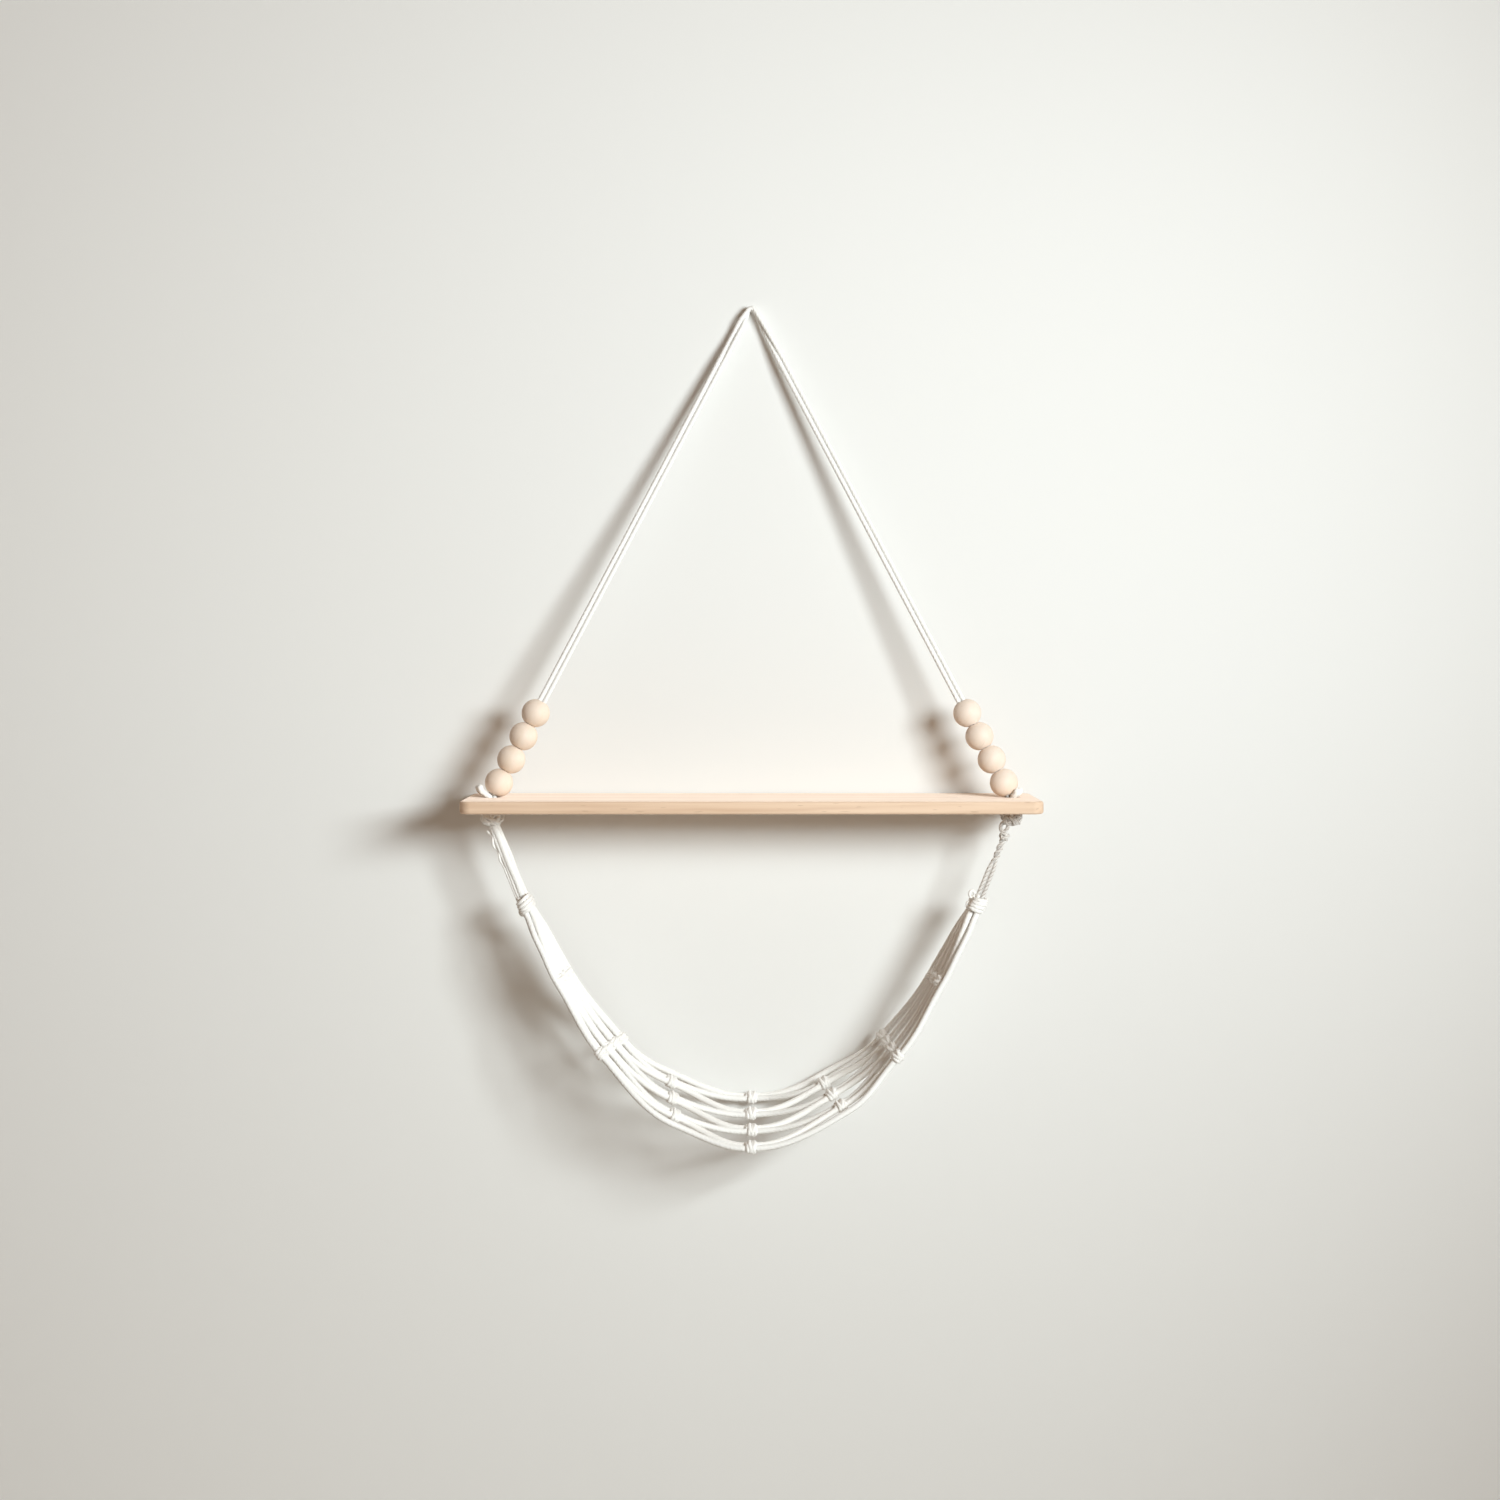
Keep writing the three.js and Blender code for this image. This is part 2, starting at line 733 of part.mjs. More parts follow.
function addGatherKnots() {
  const loopShares = {
    left: [[-0.35, -0.62, 0.36]],
    right: [[0.3, -0.6, 0.6], [-0.3, -0.62, 0.42]],
  };
  for (const [sideName, side] of sides) {
    const { centre, along, up } = gatherFrame(side);
    const wrap = netCordDiameter + clearance + gatherKnotWrap;
    const loops = loopShares[sideName].map(([alongShare, frontShare, upShare]) => {
      const place = centre.clone();
      place.addScaledVector(along, alongShare * gatherKnotLength);
      place.addScaledVector(yAxis, frontShare * wrap);
      place.addScaledVector(up, upShare * 2 * wrap);
      return torus(place, yAxis, loopRadius, loopCordDiameter, loopSides, loopSteps);
    });
    const sleeves = [];
    for (let cord = 0; cord < netCordCount; cord += 1) {
      const inner = gatherPlace(side, cord, -clearance);
      const outer = gatherPlace(side, cord, gatherKnotLength);
      sleeves.push(sleeve([inner, outer], netCordDiameter));
    }
    const knot = cutAll(joinAll([gatherBody(side, 0), ...loops]), sleeves);
    addPiece(`gather_knot_${sideName}`, toGeometry(knot), cotton);
  }
}

// Sinnets

/** The line from a stopper knot down to its gathering knot. */
function sinnetLine(side) {
  const top = stopperCentre(side);
  const down = gatherCentre(side).sub(top);
  const length = down.length();
  down.normalize();
  const across = new THREE.Vector3().crossVectors(yAxis, down).normalize();
  return { top, down, across, length };
}

function trimSinnet(solid, side) {
  const cutters = [stopperBelly(side, swingClearance), gatherBody(side, clearance)];
  return toGeometry(cutAll(solid, cutters));
}

/** A flat sinnet whose edges ripple where its strands turn. */
function addFlatSinnet() {
  const side = -1;
  const { top, down, across, length } = sinnetLine(side);
  const frame = { centre: top, along: down, across, up: yAxis };
  const sections = [];
  const places = [];
  for (let step = 0; step <= sinnetSteps; step += 1) {
    const place = stopperRadius + (length - stopperRadius) * (step / sinnetSteps);
    const wave = (2 * Math.PI * place) / sinnetRippleLength;
    const halfWide = sinnetWidth / 2 + sinnetRipple * Math.cos(wave);
    const halfThick = sinnetThickness / 2 - sinnetRipple * Math.cos(wave);
    sections.push(ellipse(halfWide, halfThick, sinnetSides));
    places.push(place);
  }
  addPiece('sinnet_left', trimSinnet(toSolid(loft(frame, sections, places)), side), cotton);
}

/** One strand of the twisted pair, from the crossing knot to the gathering knot. */
function twistStations(line, phase) {
  const helixRadius = (twistStrandDiameter + 2 * clearance) / 2;
  const start = crossingKnotDrop;
  const stations = [];
  for (let step = 0; step <= twistSteps; step += 1) {
    const place = start + (line.length - start) * (step / twistSteps);
    const wound = Math.min(place - start, twistLength);
    const angle = phase + (2 * Math.PI * wound) / twistPitch;
    stations.push(
      line.top
        .clone()
        .addScaledVector(line.down, place)
        .addScaledVector(line.across, helixRadius * Math.cos(angle))
        .addScaledVector(yAxis, helixRadius * Math.sin(angle)),
    );
  }
  return stations;
}

/** A loop on the stopper knot, a crossing knot, and a pair of strands twisted, then side by side. */
function addTwistedSinnet() {
  const side = 1;
  const line = sinnetLine(side);
  const loopPlace = line.top
    .clone()
    .addScaledVector(line.down, stopperRadius + topLoopRadius - twistStrandDiameter / 2);
  const crossing = line.top.clone().addScaledVector(line.down, crossingKnotDrop);
  const pieces = [
    torus(loopPlace, yAxis, topLoopRadius, twistStrandDiameter, loopSides, bellySides),
    ball(crossing, crossingKnotRadius, crossingSides, crossingRings),
    tube(twistStations(line, 0), twistStrandDiameter),
    tube(twistStations(line, Math.PI), twistStrandDiameter),
  ];
  addPiece('sinnet_right', trimSinnet(joinAll(pieces), side), cotton);
}

addBoard();
addRopes();
addBeads();
addStopperKnots();
addTails();
addFlatSinnet();
addTwistedSinnet();
addGatherKnots();
addNetCords();
addNetKnots();

export default shelf;
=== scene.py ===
"""Looks of a hanging rope shelf: beech board and beads, cotton rope, knots and a cord net."""

import math
from types import SimpleNamespace

import bmesh
import bpy
import numpy as np
from bpy.props import FloatProperty, FloatVectorProperty, IntProperty, PointerProperty
from bpy.types import Operator, Panel, PropertyGroup
from mathutils import Matrix, Vector


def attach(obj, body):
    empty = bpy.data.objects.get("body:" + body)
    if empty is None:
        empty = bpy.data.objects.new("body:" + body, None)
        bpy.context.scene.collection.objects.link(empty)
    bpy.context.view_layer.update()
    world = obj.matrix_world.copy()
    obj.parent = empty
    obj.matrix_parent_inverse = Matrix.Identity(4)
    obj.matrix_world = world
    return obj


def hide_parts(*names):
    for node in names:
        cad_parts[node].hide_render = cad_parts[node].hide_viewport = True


bl_info = {
    "name": "Hanging rope shelf",
    "version": (1, 0, 0),
    "blender": (4, 5, 0),
    "location": "3D View > Sidebar > Rope Shelf",
    "description": "Builds a beech shelf on a doubled rope, with beads and a knotted net under it",
    "category": "Add Mesh",
}

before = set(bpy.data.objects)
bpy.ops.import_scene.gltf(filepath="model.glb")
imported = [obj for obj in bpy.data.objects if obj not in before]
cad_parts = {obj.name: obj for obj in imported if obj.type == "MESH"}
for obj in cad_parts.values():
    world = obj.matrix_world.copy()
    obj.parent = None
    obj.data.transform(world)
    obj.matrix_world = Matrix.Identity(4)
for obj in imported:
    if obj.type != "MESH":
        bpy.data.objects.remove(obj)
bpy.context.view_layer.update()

X_AXIS = Vector((1, 0, 0))
Y_AXIS = Vector((0, 1, 0))
Z_AXIS = Vector((0, 0, 1))
SIDES = (("left", -1), ("right", 1))

# Each net row: name, back end (across, down), front end (across, down), half width and knots,
# as shares of the net's half span, drop and half width
NET_ROWS = (
    ("left_outer", (-0.813, 0.522), (-0.852, 0.537), 0.44, 3),
    ("left_mid", (-0.583, 0.731), (-0.658, 0.737), 0.7, 4),
    ("left_inner", (-0.37, 0.84), (-0.33, 0.936), 0.91, 3),
    ("center", (0, 0.916), (0, 1), 1, 4),
    ("right_inner", (0.306, 0.853), (0.41, 0.9), 0.91, 3),
    ("right_mid", (0.589, 0.722), (0.641, 0.745), 0.7, 4),
    ("right_outer", (0.797, 0.533), (0.841, 0.5375), 0.44, 3),
)
# Along, sideways and level shares of a net cord's way out of its gathering knot
SPLAY = ((0.3, 0.62, 0.2), (0.65, 0.92, 0.7))
# Outward, apart and upward shares of a cord end's way out of its hole
TAIL_WAY = (
    (0.03, 0, -0.3),
    (0.15, 0.1, 0.06),
    (0.45, 0.5, 0.24),
    (0.85, 0.9, 0.52),
    (1, 1, 1),
)
# Each cord end: name, way in depth, shares of the full reach, spread and rise, and its swell
TAIL_ENDS = {
    "left": (("front", -1, 0.85, 1.1, 1, 0.42), ("back", 1, 1.1, 1.1, 0.92, 0.36)),
    "right": (("front", -1, 0.35, 2, 0.72, 0.45), ("back", 1, 0.75, 1.1, 0.7, 0.45)),
}

# How far painted shade darkens each cotton's creases, and the warmer tone of its yarns
COTTON_CREASE_SHADE = {"Rope cotton": 0.2, "Net cotton": 0.1, "Shaded knot cotton": 0.9}
COTTON_WARMTH = (1, 0.985, 0.96)
# Points on the nail's bend, a pair's turn, a straight leg, the turn into a hole, the way
# between two net knots, a winding and a small loop
BEND_POINTS, TURN_POINTS, LEG_POINTS, HOLE_POINTS = 10, 17, 13, 7
SPAN_POINTS, WINDING_POINTS, LOOP_POINTS = 6, 96, 24
# Points worked out between two given ones, before a path is spaced evenly
FINE_POINTS = 12
# Distance from ring to ring in the mesh of each kind of cord
ROPE_STEP, NET_STEP, END_STEP = 0.0013, 0.0016, 0.0008
STRAND_STEP, KNOT_STEP, LOOP_STEP = 0.0011, 0.0009, 0.0007
# The share of the plies' grooves on soft cords, and how far a spare loop leans
SOFT_GROOVE, LOOP_LEAN = 0.4, 0.001
# Plies in a cord and the curve of their section: how full it is, and its middle
PLIES, PLY_FULLNESS, PLY_MIDDLE = 3, 0.8, 0.7
# The slanted way that gives a cord its first normal, and the square of a dome's least share
SKEW, DOME_TIP = (0.31, 0.57, 0.76), 0.02
# The scales of the yarns' noises, the relief of the yarns and how far their tint varies
YARN_DRIFT, YARN_FIBRES, YARN_TINT = 420, 2600, 70
YARN_DEPTH, YARN_BUMP, YARN_TINT_SHARE = 0.0003, 0.3, 0.5
# How sharply the painted shade in creases and grooves closes, and how much the fibres stand out
CREASE_SHADE_POWER, GROOVE_SHADE_POWER, FIBRE_SHARE = 1.6, 4.0, 0.45
# Each band of grain: how it is stretched, its detail, and where its mask starts and ends
GRAIN_BANDS = (
    ((1.6, 34, 34), 3, 0.36, 0.68),
    ((9, 260, 260), 2, 0.35, 0.75),
    ((60, 520, 520), 1, 0.68, 0.76),
)
# The broad grain's share, the relief, and how dark and how strong the flecks are
GRAIN_BROAD, GRAIN_BUMP, GRAIN_DEPTH = 0.62, 0.12, 0.0002
FLECK_SHADE, FLECK_SHARE = 0.82, 0.55
# How much smoother and rougher than its middle the wood gets, and the tint of its sheen
SMOOTHER, ROUGHER, WOOD_SHEEN = 0.06, 0.08, (0.94, 0.8, 0.71, 1)
# How much of its own colour the floor shows the camera
FLOOR_GLOW = 0.65
# How far a hole's cutter stands out, the bevel of a bead's rims, lengths that count as none,
# and how nearly a face's normal is upright where the face is level
CUTTER_SPARE, RIM_BEVEL, SHORT, LEVEL, UPRIGHT = 0.002, 0.0002, 1e-4, 1e-5, 0.9


# Sizes and colours


def size(name, description, default):
    return FloatProperty(name=name, description=description, default=default, unit="LENGTH")


def colour(name, description, default):
    return FloatVectorProperty(
        name=name, description=description, default=default, subtype="COLOR", size=3, min=0, max=1
    )


def position(name, description, default):
    return FloatVectorProperty(
        name=name, description=description, default=default, subtype="TRANSLATION", size=3
    )


class BoardSizes(PropertyGroup):
    """Sizes of the wooden board."""

    length: size("Length", "Board's length", 0.5)
    depth: size("Depth", "Board's depth", 0.12)
    thickness: size("Thickness", "Board's thickness", 0.011)
    corner: size("Corner radius", "Rounding seen from above", 0.01)
    edge: size("Edge radius", "Rounding along the edges", 0.0022)
    hole_radius: size("Hole radius", "Radius of the rope holes", 0.007)
    hole_inset: size("Hole inset", "From board's end to hole", 0.022)
    hole_easing: size("Hole easing", "Rounding of the holes' rims", 0.0008)


class RopeSizes(PropertyGroup):
    """Sizes of the doubled hanging rope and of the lay of all cords."""

    hang_height: size("Hang height", "From the nail down to the board", 0.429)
    nail_radius: size("Nail radius", "Radius that the rope bends over", 0.0015)
    diameter: size("Diameter", "Diameter of one strand", 0.004)
    bend: size("Bend at the hole", "Length of the turn into a hole", 0.005)
    left_turn: size("Left turn", "Length of the pair's quarter turn", 0.016)
    right_turn: size("Right turn", "Length of the pair's quarter turn", 0.06)
    gap: size("Gap", "Air between pieces that touch", 0.0003)
    ply_pitch: size("Lay length", "Length of one turn of the plies", 0.013)
    ply_groove: FloatProperty(
        name="Groove", description="Depth of the plies' grooves", default=0.13, min=0, max=0.5
    )


class BeadSizes(PropertyGroup):
    """Sizes of the wooden beads."""

    diameter: size("Diameter", "Diameter of a bead", 0.0248)
    bore: size("Bore radius", "Radius of the bore", 0.0045)
    rim: size("Rim", "Easing of the bore's mouths", 0.0005)
    per_leg: IntProperty(name="Beads", description="Beads on each leg", default=4, min=1, max=4)


class KnotSizes(PropertyGroup):
    """Sizes of the stopper knots, the spare loops, the cord ends and the sinnets."""

    stopper_drop: size("Stopper drop", "Knot's middle under the board", 0.008)
    stopper_half_width: size("Stopper half width", "Half the knot's width", 0.0083)
    stopper_radius: size("Stopper radius", "Knot's radius", 0.0055)
    loop_radius: size("Loop radius", "Radius of the spare loops", 0.0024)
    loop_cord: size("Loop cord", "Diameter of the loops' cord", 0.0024)
    tail_spread: size("End spread", "Cord ends' place beside the hole", 0.0044)
    tail_rise: size("End rise", "Cord ends' height over the board", 0.0115)
    tail_reach: size("End reach", "Cord ends' reach outward", 0.0114)
    sinnet_cord: size("Twist cord", "Diameter of the twisted strands", 0.0038)
    band_cord: size("Band cord", "Diameter of the flat sinnet's strands", 0.0048)
    thin_cord: size("Thin cord", "Diameter of the sinnet's thin strand", 0.0022)
    twist_pitch: size("Twist pitch", "One turn of the twisted pair", 0.0135)
    twist_length: size("Twist length", "Twisted part of the pair", 0.028)
    crossing_drop: size("Crossing drop", "Crossing knot's distance", 0.0165)
    top_loop: size("Top loop", "Radius of the right top loop", 0.0043)


class NetSizes(PropertyGroup):
    """Sizes of the net under the board."""

    half_span: size("Half span", "From the middle to a gathering", 0.1985)
    gather_drop: size("Gathering drop", "Gathering below the board's top", 0.093)
    drop: size("Drop", "Lowest row below the board's top", 0.299)
    half_width: size("Half width", "Half the middle row's width", 0.055)
    cord: size("Cord diameter", "Diameter of a net cord", 0.0056)
    cords: IntProperty(name="Cords", description="Cords in the net", default=8, min=8, max=8)
    knot_length: size("Knot length", "Length of a net knot", 0.009)
    gather_length: size("Gathering length", "Length of a gathering knot", 0.016)


class Finishes(PropertyGroup):
    """Colours of the wood, the cotton and the painted shade in its creases, the wall and the floor.
    """

    beech: colour("Beech", "Light wood of the board", (0.855, 0.655, 0.495))
    beech_dark: colour("Beech grain", "Darker grain of the board", (0.625, 0.42, 0.28))
    bead: colour("Bead", "Light wood of the beads", (0.885, 0.755, 0.655))
    bead_dark: colour("Bead grain", "Darker grain of the beads", (0.84, 0.675, 0.525))
    cotton: colour("Cotton", "Light cotton of the cords", (0.985, 0.975, 0.955))
    # Painted shade that darkens the cotton in its creases and ply grooves
    cotton_crease_shade: colour("Cotton shade", "Painted shade in the cotton's creases", (0.76, 0.72, 0.66))
    # Dark painted shade for the creases of the right stopper knot and sinnet, which lie in shade
    knot_crease_shade: colour("Knot shade", "Dark painted shade in the right knots' creases", (0.24, 0.17, 0.12))
    wall: colour("Wall", "Paint on the wall", (0.83, 0.83, 0.82))
    floor: colour("Floor", "Pale floor", (0.76, 0.73, 0.68))


class StageSizes(PropertyGroup):
    """Camera and light."""

    camera_distance: size("Camera distance", "From the board's middle", 2.165)
    camera_height: size("Camera height", "Above the board's top", 0.1386)
    lens: FloatProperty(name="Lens", description="Focal length in mm", default=59.4, min=1)
    tilt: FloatProperty(
        name="Tilt", description="Downward tilt of the camera", default=math.radians(2.57),
        subtype="ANGLE",
    )
    key_power: FloatProperty(
        name="Key light", description="Power of the key light in watts", default=29.5, min=0
    )
    key_width: size("Key width", "Width of the key light", 0.85)
    key_height: size("Key height", "Height of the key light", 0.45)
    key_place: position("Key place", "Middle of the key light", (0.93, -1.6, -0.01))
    key_aim: position("Key aim", "Where the key light points", (-1.45, 0, -0.3))
    fill: FloatProperty(name="Fill light", description="Strength of the room", default=0.2, min=0)


# Places that follow from the sizes


class Layout:
    """Places in metres in the CAD frame, the nail's axis at the origin."""

    def __init__(self, scene):
        self.board, self.rope = scene.shelf_board, scene.shelf_rope
        self.bead, self.knots, self.net = scene.shelf_bead, scene.shelf_knots, scene.shelf_net
        self.half_pair = (self.rope.diameter + self.rope.gap) / 2
        self.wall_y = self.half_pair + self.rope.diameter / 2 + self.rope.gap
        self.middle_y = self.wall_y - self.board.depth / 2
        self.top_z = -self.rope.hang_height
        self.bottom_z = self.top_z - self.board.thickness
        self.hole_x = self.board.length / 2 - self.board.hole_inset
        self.stopper_z = self.bottom_z - self.knots.stopper_drop
        self.gather_z = self.top_z - self.net.gather_drop
        self.leg_slope = Vector((0, -self.middle_y, self.rope.hang_height)).normalized()
        self.leg_front = X_AXIS.cross(self.leg_slope)
        self.net_pair = (self.net.cord + self.rope.gap) / 2
        self.gather_lift = self.net_pair * math.sin(math.pi / 3)
        self.bead_mouth = self.bead.bore + self.bead.rim
        self.bead_half = math.sqrt((self.bead.diameter / 2) ** 2 - self.bead_mouth**2)

    def stopper(self, side):
        return Vector((side * self.hole_x, self.middle_y, self.stopper_z))

    def gather(self, side):
        return Vector((side * self.net.half_span, self.middle_y, self.gather_z))


def leg_line(lay, side):
    """A leg's straight line: where it meets the board and the nail's bend."""
    foot = Vector((side * lay.hole_x, lay.middle_y, lay.top_z))
    bend = lay.rope.nail_radius + lay.rope.diameter / 2
    foot_angle = math.atan2(foot.dot(lay.leg_slope), side * foot.x)
    touch = foot_angle + math.acos(bend / foot.length)
    top = X_AXIS * (side * bend * math.cos(touch)) + lay.leg_slope * (bend * math.sin(touch))
    up = (top - foot).normalized()
    outward = up.cross(lay.leg_front).normalized() * side
    length = (top - foot).length
    return SimpleNamespace(
        foot=foot, top=top, up=up, outward=outward, bend=bend, touch=touch, length=length
    )


def leg_stations(lay, side, turn_length):
    """From the nail's top down one leg: the pair's middle line and the way its strands part."""
    leg = leg_line(lay, side)
    stations = []
    for share in np.linspace(0, 1, BEND_POINTS):
        angle = math.pi / 2 + (leg.touch - math.pi / 2) * share
        at = X_AXIS * (side * leg.bend * math.cos(angle))
        stations.append((at + lay.leg_slope * (leg.bend * math.sin(angle)), lay.leg_front))
    for share in np.linspace(0, 1, TURN_POINTS)[1:]:
        turn = math.pi / 2 * share
        apart = lay.leg_front * math.cos(turn) + leg.outward * math.sin(turn)
        stations.append((leg.top - leg.up * (turn_length * share), apart))
    straight = leg.length - turn_length - lay.rope.bend
    for share in np.linspace(0, 1, LEG_POINTS)[1:]:
        stations.append((leg.top - leg.up * (turn_length + straight * share), leg.outward))
    return stations + foot_stations(lay, side, leg)


def foot_stations(lay, side, leg):
    """From the leg round into the hole and down to the middle of the stopper knot."""
    start = leg.foot + leg.up * lay.rope.bend
    end = leg.foot - Z_AXIS * lay.rope.bend
    stations = []
    for share in np.linspace(0, 1, HOLE_POINTS)[1:]:
        at = start * (1 - share) ** 2 + leg.foot * (2 * share * (1 - share)) + end * share**2
        apart = (leg.outward * (1 - share) + X_AXIS * (side * share)).normalized()
        stations.append((at, apart))
    stations.append((lay.stopper(side), X_AXIS * side))
    return stations


def rope_points(lay, way):
    """One strand's route from the left stopper knot over the nail to the right one."""
    legs = [
        [at + apart * (way * lay.half_pair) for at, apart in leg_stations(lay, side, turn)]
        for side, turn in ((-1, lay.rope.left_turn), (1, lay.rope.right_turn))
    ]
    return legs[0][::-1] + legs[1][1:]


def net_rows(lay):
    """Each row's middle, its way across the net, its half width and the way the cords run."""
    rows = []
    for name, back, front, width, knots in NET_ROWS:
        ends = []
        for (across, down), way in ((back, 1), (front, -1)):
            y = lay.middle_y + way * width * lay.net.half_width
            ends.append(Vector((across * lay.net.half_span, y, lay.top_z - down * lay.net.drop)))
        run = ends[0] - ends[1]
        middle, across, half = (ends[0] + ends[1]) / 2, run.normalized(), run.length / 2
        rows.append(
            SimpleNamespace(name=name, knots=knots, middle=middle, across=across, half=half)
        )
    middles = [lay.gather(-1), *(row.middle for row in rows), lay.gather(1)]
    for index, row in enumerate(rows):
        run = middles[index + 2] - middles[index]
        row.along = (run - row.across * run.dot(row.across)).normalized()
        row.up = row.along.cross(row.across).normalized()
    return rows


def cord_places(lay, row):
    """Where each cord crosses a row, from the back edge to the front edge."""
    edge = row.half - lay.net_pair
    full = row.knots == lay.net.cords // 2
    places = [] if full else [row.half]
    for knot in range(row.knots):
        if full:
            middle = edge * (1 - 2 * knot / (row.knots - 1))
        else:
            middle = edge * 2 * (1 - knot) / row.knots
        places += [middle + lay.net_pair, middle - lay.net_pair]
    return places if full else [*places, -row.half]


def gather_frame(lay, side):
    """A gathering knot's frame: along runs from the net up to the sinnet."""
    centre = lay.gather(side)
    outer = net_rows(lay)[0 if side < 0 else -1]
    along = centre - outer.middle
    along.y = 0
    along.normalize()
    return SimpleNamespace(centre=centre, along=along, across=Y_AXIS, up=along.cross(Y_AXIS))


def in_frame(place, across, up, along):
    return place.centre + place.across * across + place.up * up + place.along * along


def gather_place(lay, side, cord, reach):
    """A cord's place in the gathering knot, where the cords lie in two staggered layers."""
    sideways = ((lay.net.cords - 1) / 2 - cord) * lay.net_pair
    lift = lay.gather_lift if cord % 2 == 0 else -lay.gather_lift
    return in_frame(gather_frame(lay, side), sideways, side * lift, -reach)


def row_stretch(lay, row, cord):
    """The straight stretch of a cord through a row."""
    middle = row.middle + row.across * cord_places(lay, row)[cord]
    half = lay.net.knot_length / 2 + lay.rope.gap
    return [middle - row.along * half, middle + row.along * half]


def span_points(before, after):
    """Points between two straight stretches, leaving and joining them in their own directions."""
    start, end = before[1], after[0]
    pull = (end - start).length / 3
    leave = start + (start - before[0]).normalized() * pull
    join = end + (end - after[1]).normalized() * pull
    points = []
    for t in np.linspace(0, 1, SPAN_POINTS + 1)[1:-1]:
        s = 1 - t
        points.append(start * s**3 + leave * (3 * s * s * t) + join * (3 * s * t * t) + end * t**3)
    return points


def splay_points(lay, side, leaving, entry):
    """Points where a cord leaves its gathering knot, which spread sideways before they level."""
    place = gather_frame(lay, side)
    lift = (leaving - place.centre).dot(place.up)
    level = leaving - place.up * lift
    points = []
    for along, sideways, levelled in SPLAY:
        point = level.lerp(entry, along)
        point.y = leaving.y + (entry.y - leaving.y) * sideways
        points.append(point + place.up * (lift * (1 - levelled)))
    return points


def net_cord_points(lay, cord):
    """A net cord's whole route from one gathering knot to the other."""
    inside = lay.net.gather_length / 2 + lay.rope.gap
    left, right = (
        [gather_place(lay, side, cord, reach) for reach in (0, inside)] for side in (-1, 1)
    )
    stretches = [row_stretch(lay, row, cord) for row in net_rows(lay)]
    points = [*left, *splay_points(lay, -1, left[1], stretches[0][0]), *stretches[0]]
    for before, after in zip(stretches, stretches[1:]):
        points += [*span_points(before, after), *after]
    return [*points, *splay_points(lay, 1, right[1], stretches[-1][1])[::-1], right[1], right[0]]


def sinnet_line(lay, side):
    """The line from a stopper knot down to its gathering knot."""
    top = lay.stopper(side)
    run = lay.gather(side) - top
    down = run.normalized()
    across = Y_AXIS.cross(down).normalized()
    return SimpleNamespace(centre=top, along=down, across=across, up=Y_AXIS, length=run.length)


# Cords as meshes


def smooth_path(points, step, closed=False):
    """Evenly spaced points on a smooth curve through the given ones."""
    points = np.array([list(point) for point in points], float)
    if closed:
        points = np.vstack([points[-1:], points, points[:2]])
    gaps = np.linalg.norm(np.diff(points, axis=0), axis=1)
    slopes = np.diff(points, axis=0) / gaps[:, None]
    inner = slopes[:-1] * gaps[1:, None] + slopes[1:] * gaps[:-1, None]
    inner /= (gaps[1:] + gaps[:-1])[:, None]
    tangents = np.vstack([slopes[:1], inner, slopes[-1:]])
    t = np.linspace(0, 1, FINE_POINTS, endpoint=False)[:, None]
    pieces = []
    spans = range(1, len(gaps) - 1) if closed else range(len(gaps))
    for i in spans:
        pieces.append(
            (2 * t**3 - 3 * t**2 + 1) * points[i]
            + (t**3 - 2 * t**2 + t) * gaps[i] * tangents[i]
            + (3 * t**2 - 2 * t**3) * points[i + 1]
            + (t**3 - t**2) * gaps[i] * tangents[i + 1]
        )
    pieces.append(points[-2:-1] if closed else points[-1:])
    line = np.vstack(pieces)
    along = np.concatenate([[0], np.cumsum(np.linalg.norm(np.diff(line, axis=0), axis=1))])
    count = max(4, round(along[-1] / step))
    places = np.linspace(0, along[-1], count + 1)
    path = np.stack([np.interp(places, along, line[:, axis]) for axis in range(3)], axis=1)
    return path[:-1] if closed else path


def carried_normals(tangents):
    """A normal at each point of a path, carried along it with no twist of its own."""
    start = np.cross(tangents[0], SKEW)
    normals = [start / np.linalg.norm(start)]
    for tangent in tangents[1:]:
        normal = normals[-1] - tangent * np.dot(normals[-1], tangent)
        normals.append(normal / np.linalg.norm(normal))
    return np.array(normals)


def unit(vectors):
    return vectors / np.linalg.norm(vectors, axis=-1, keepdims=True)


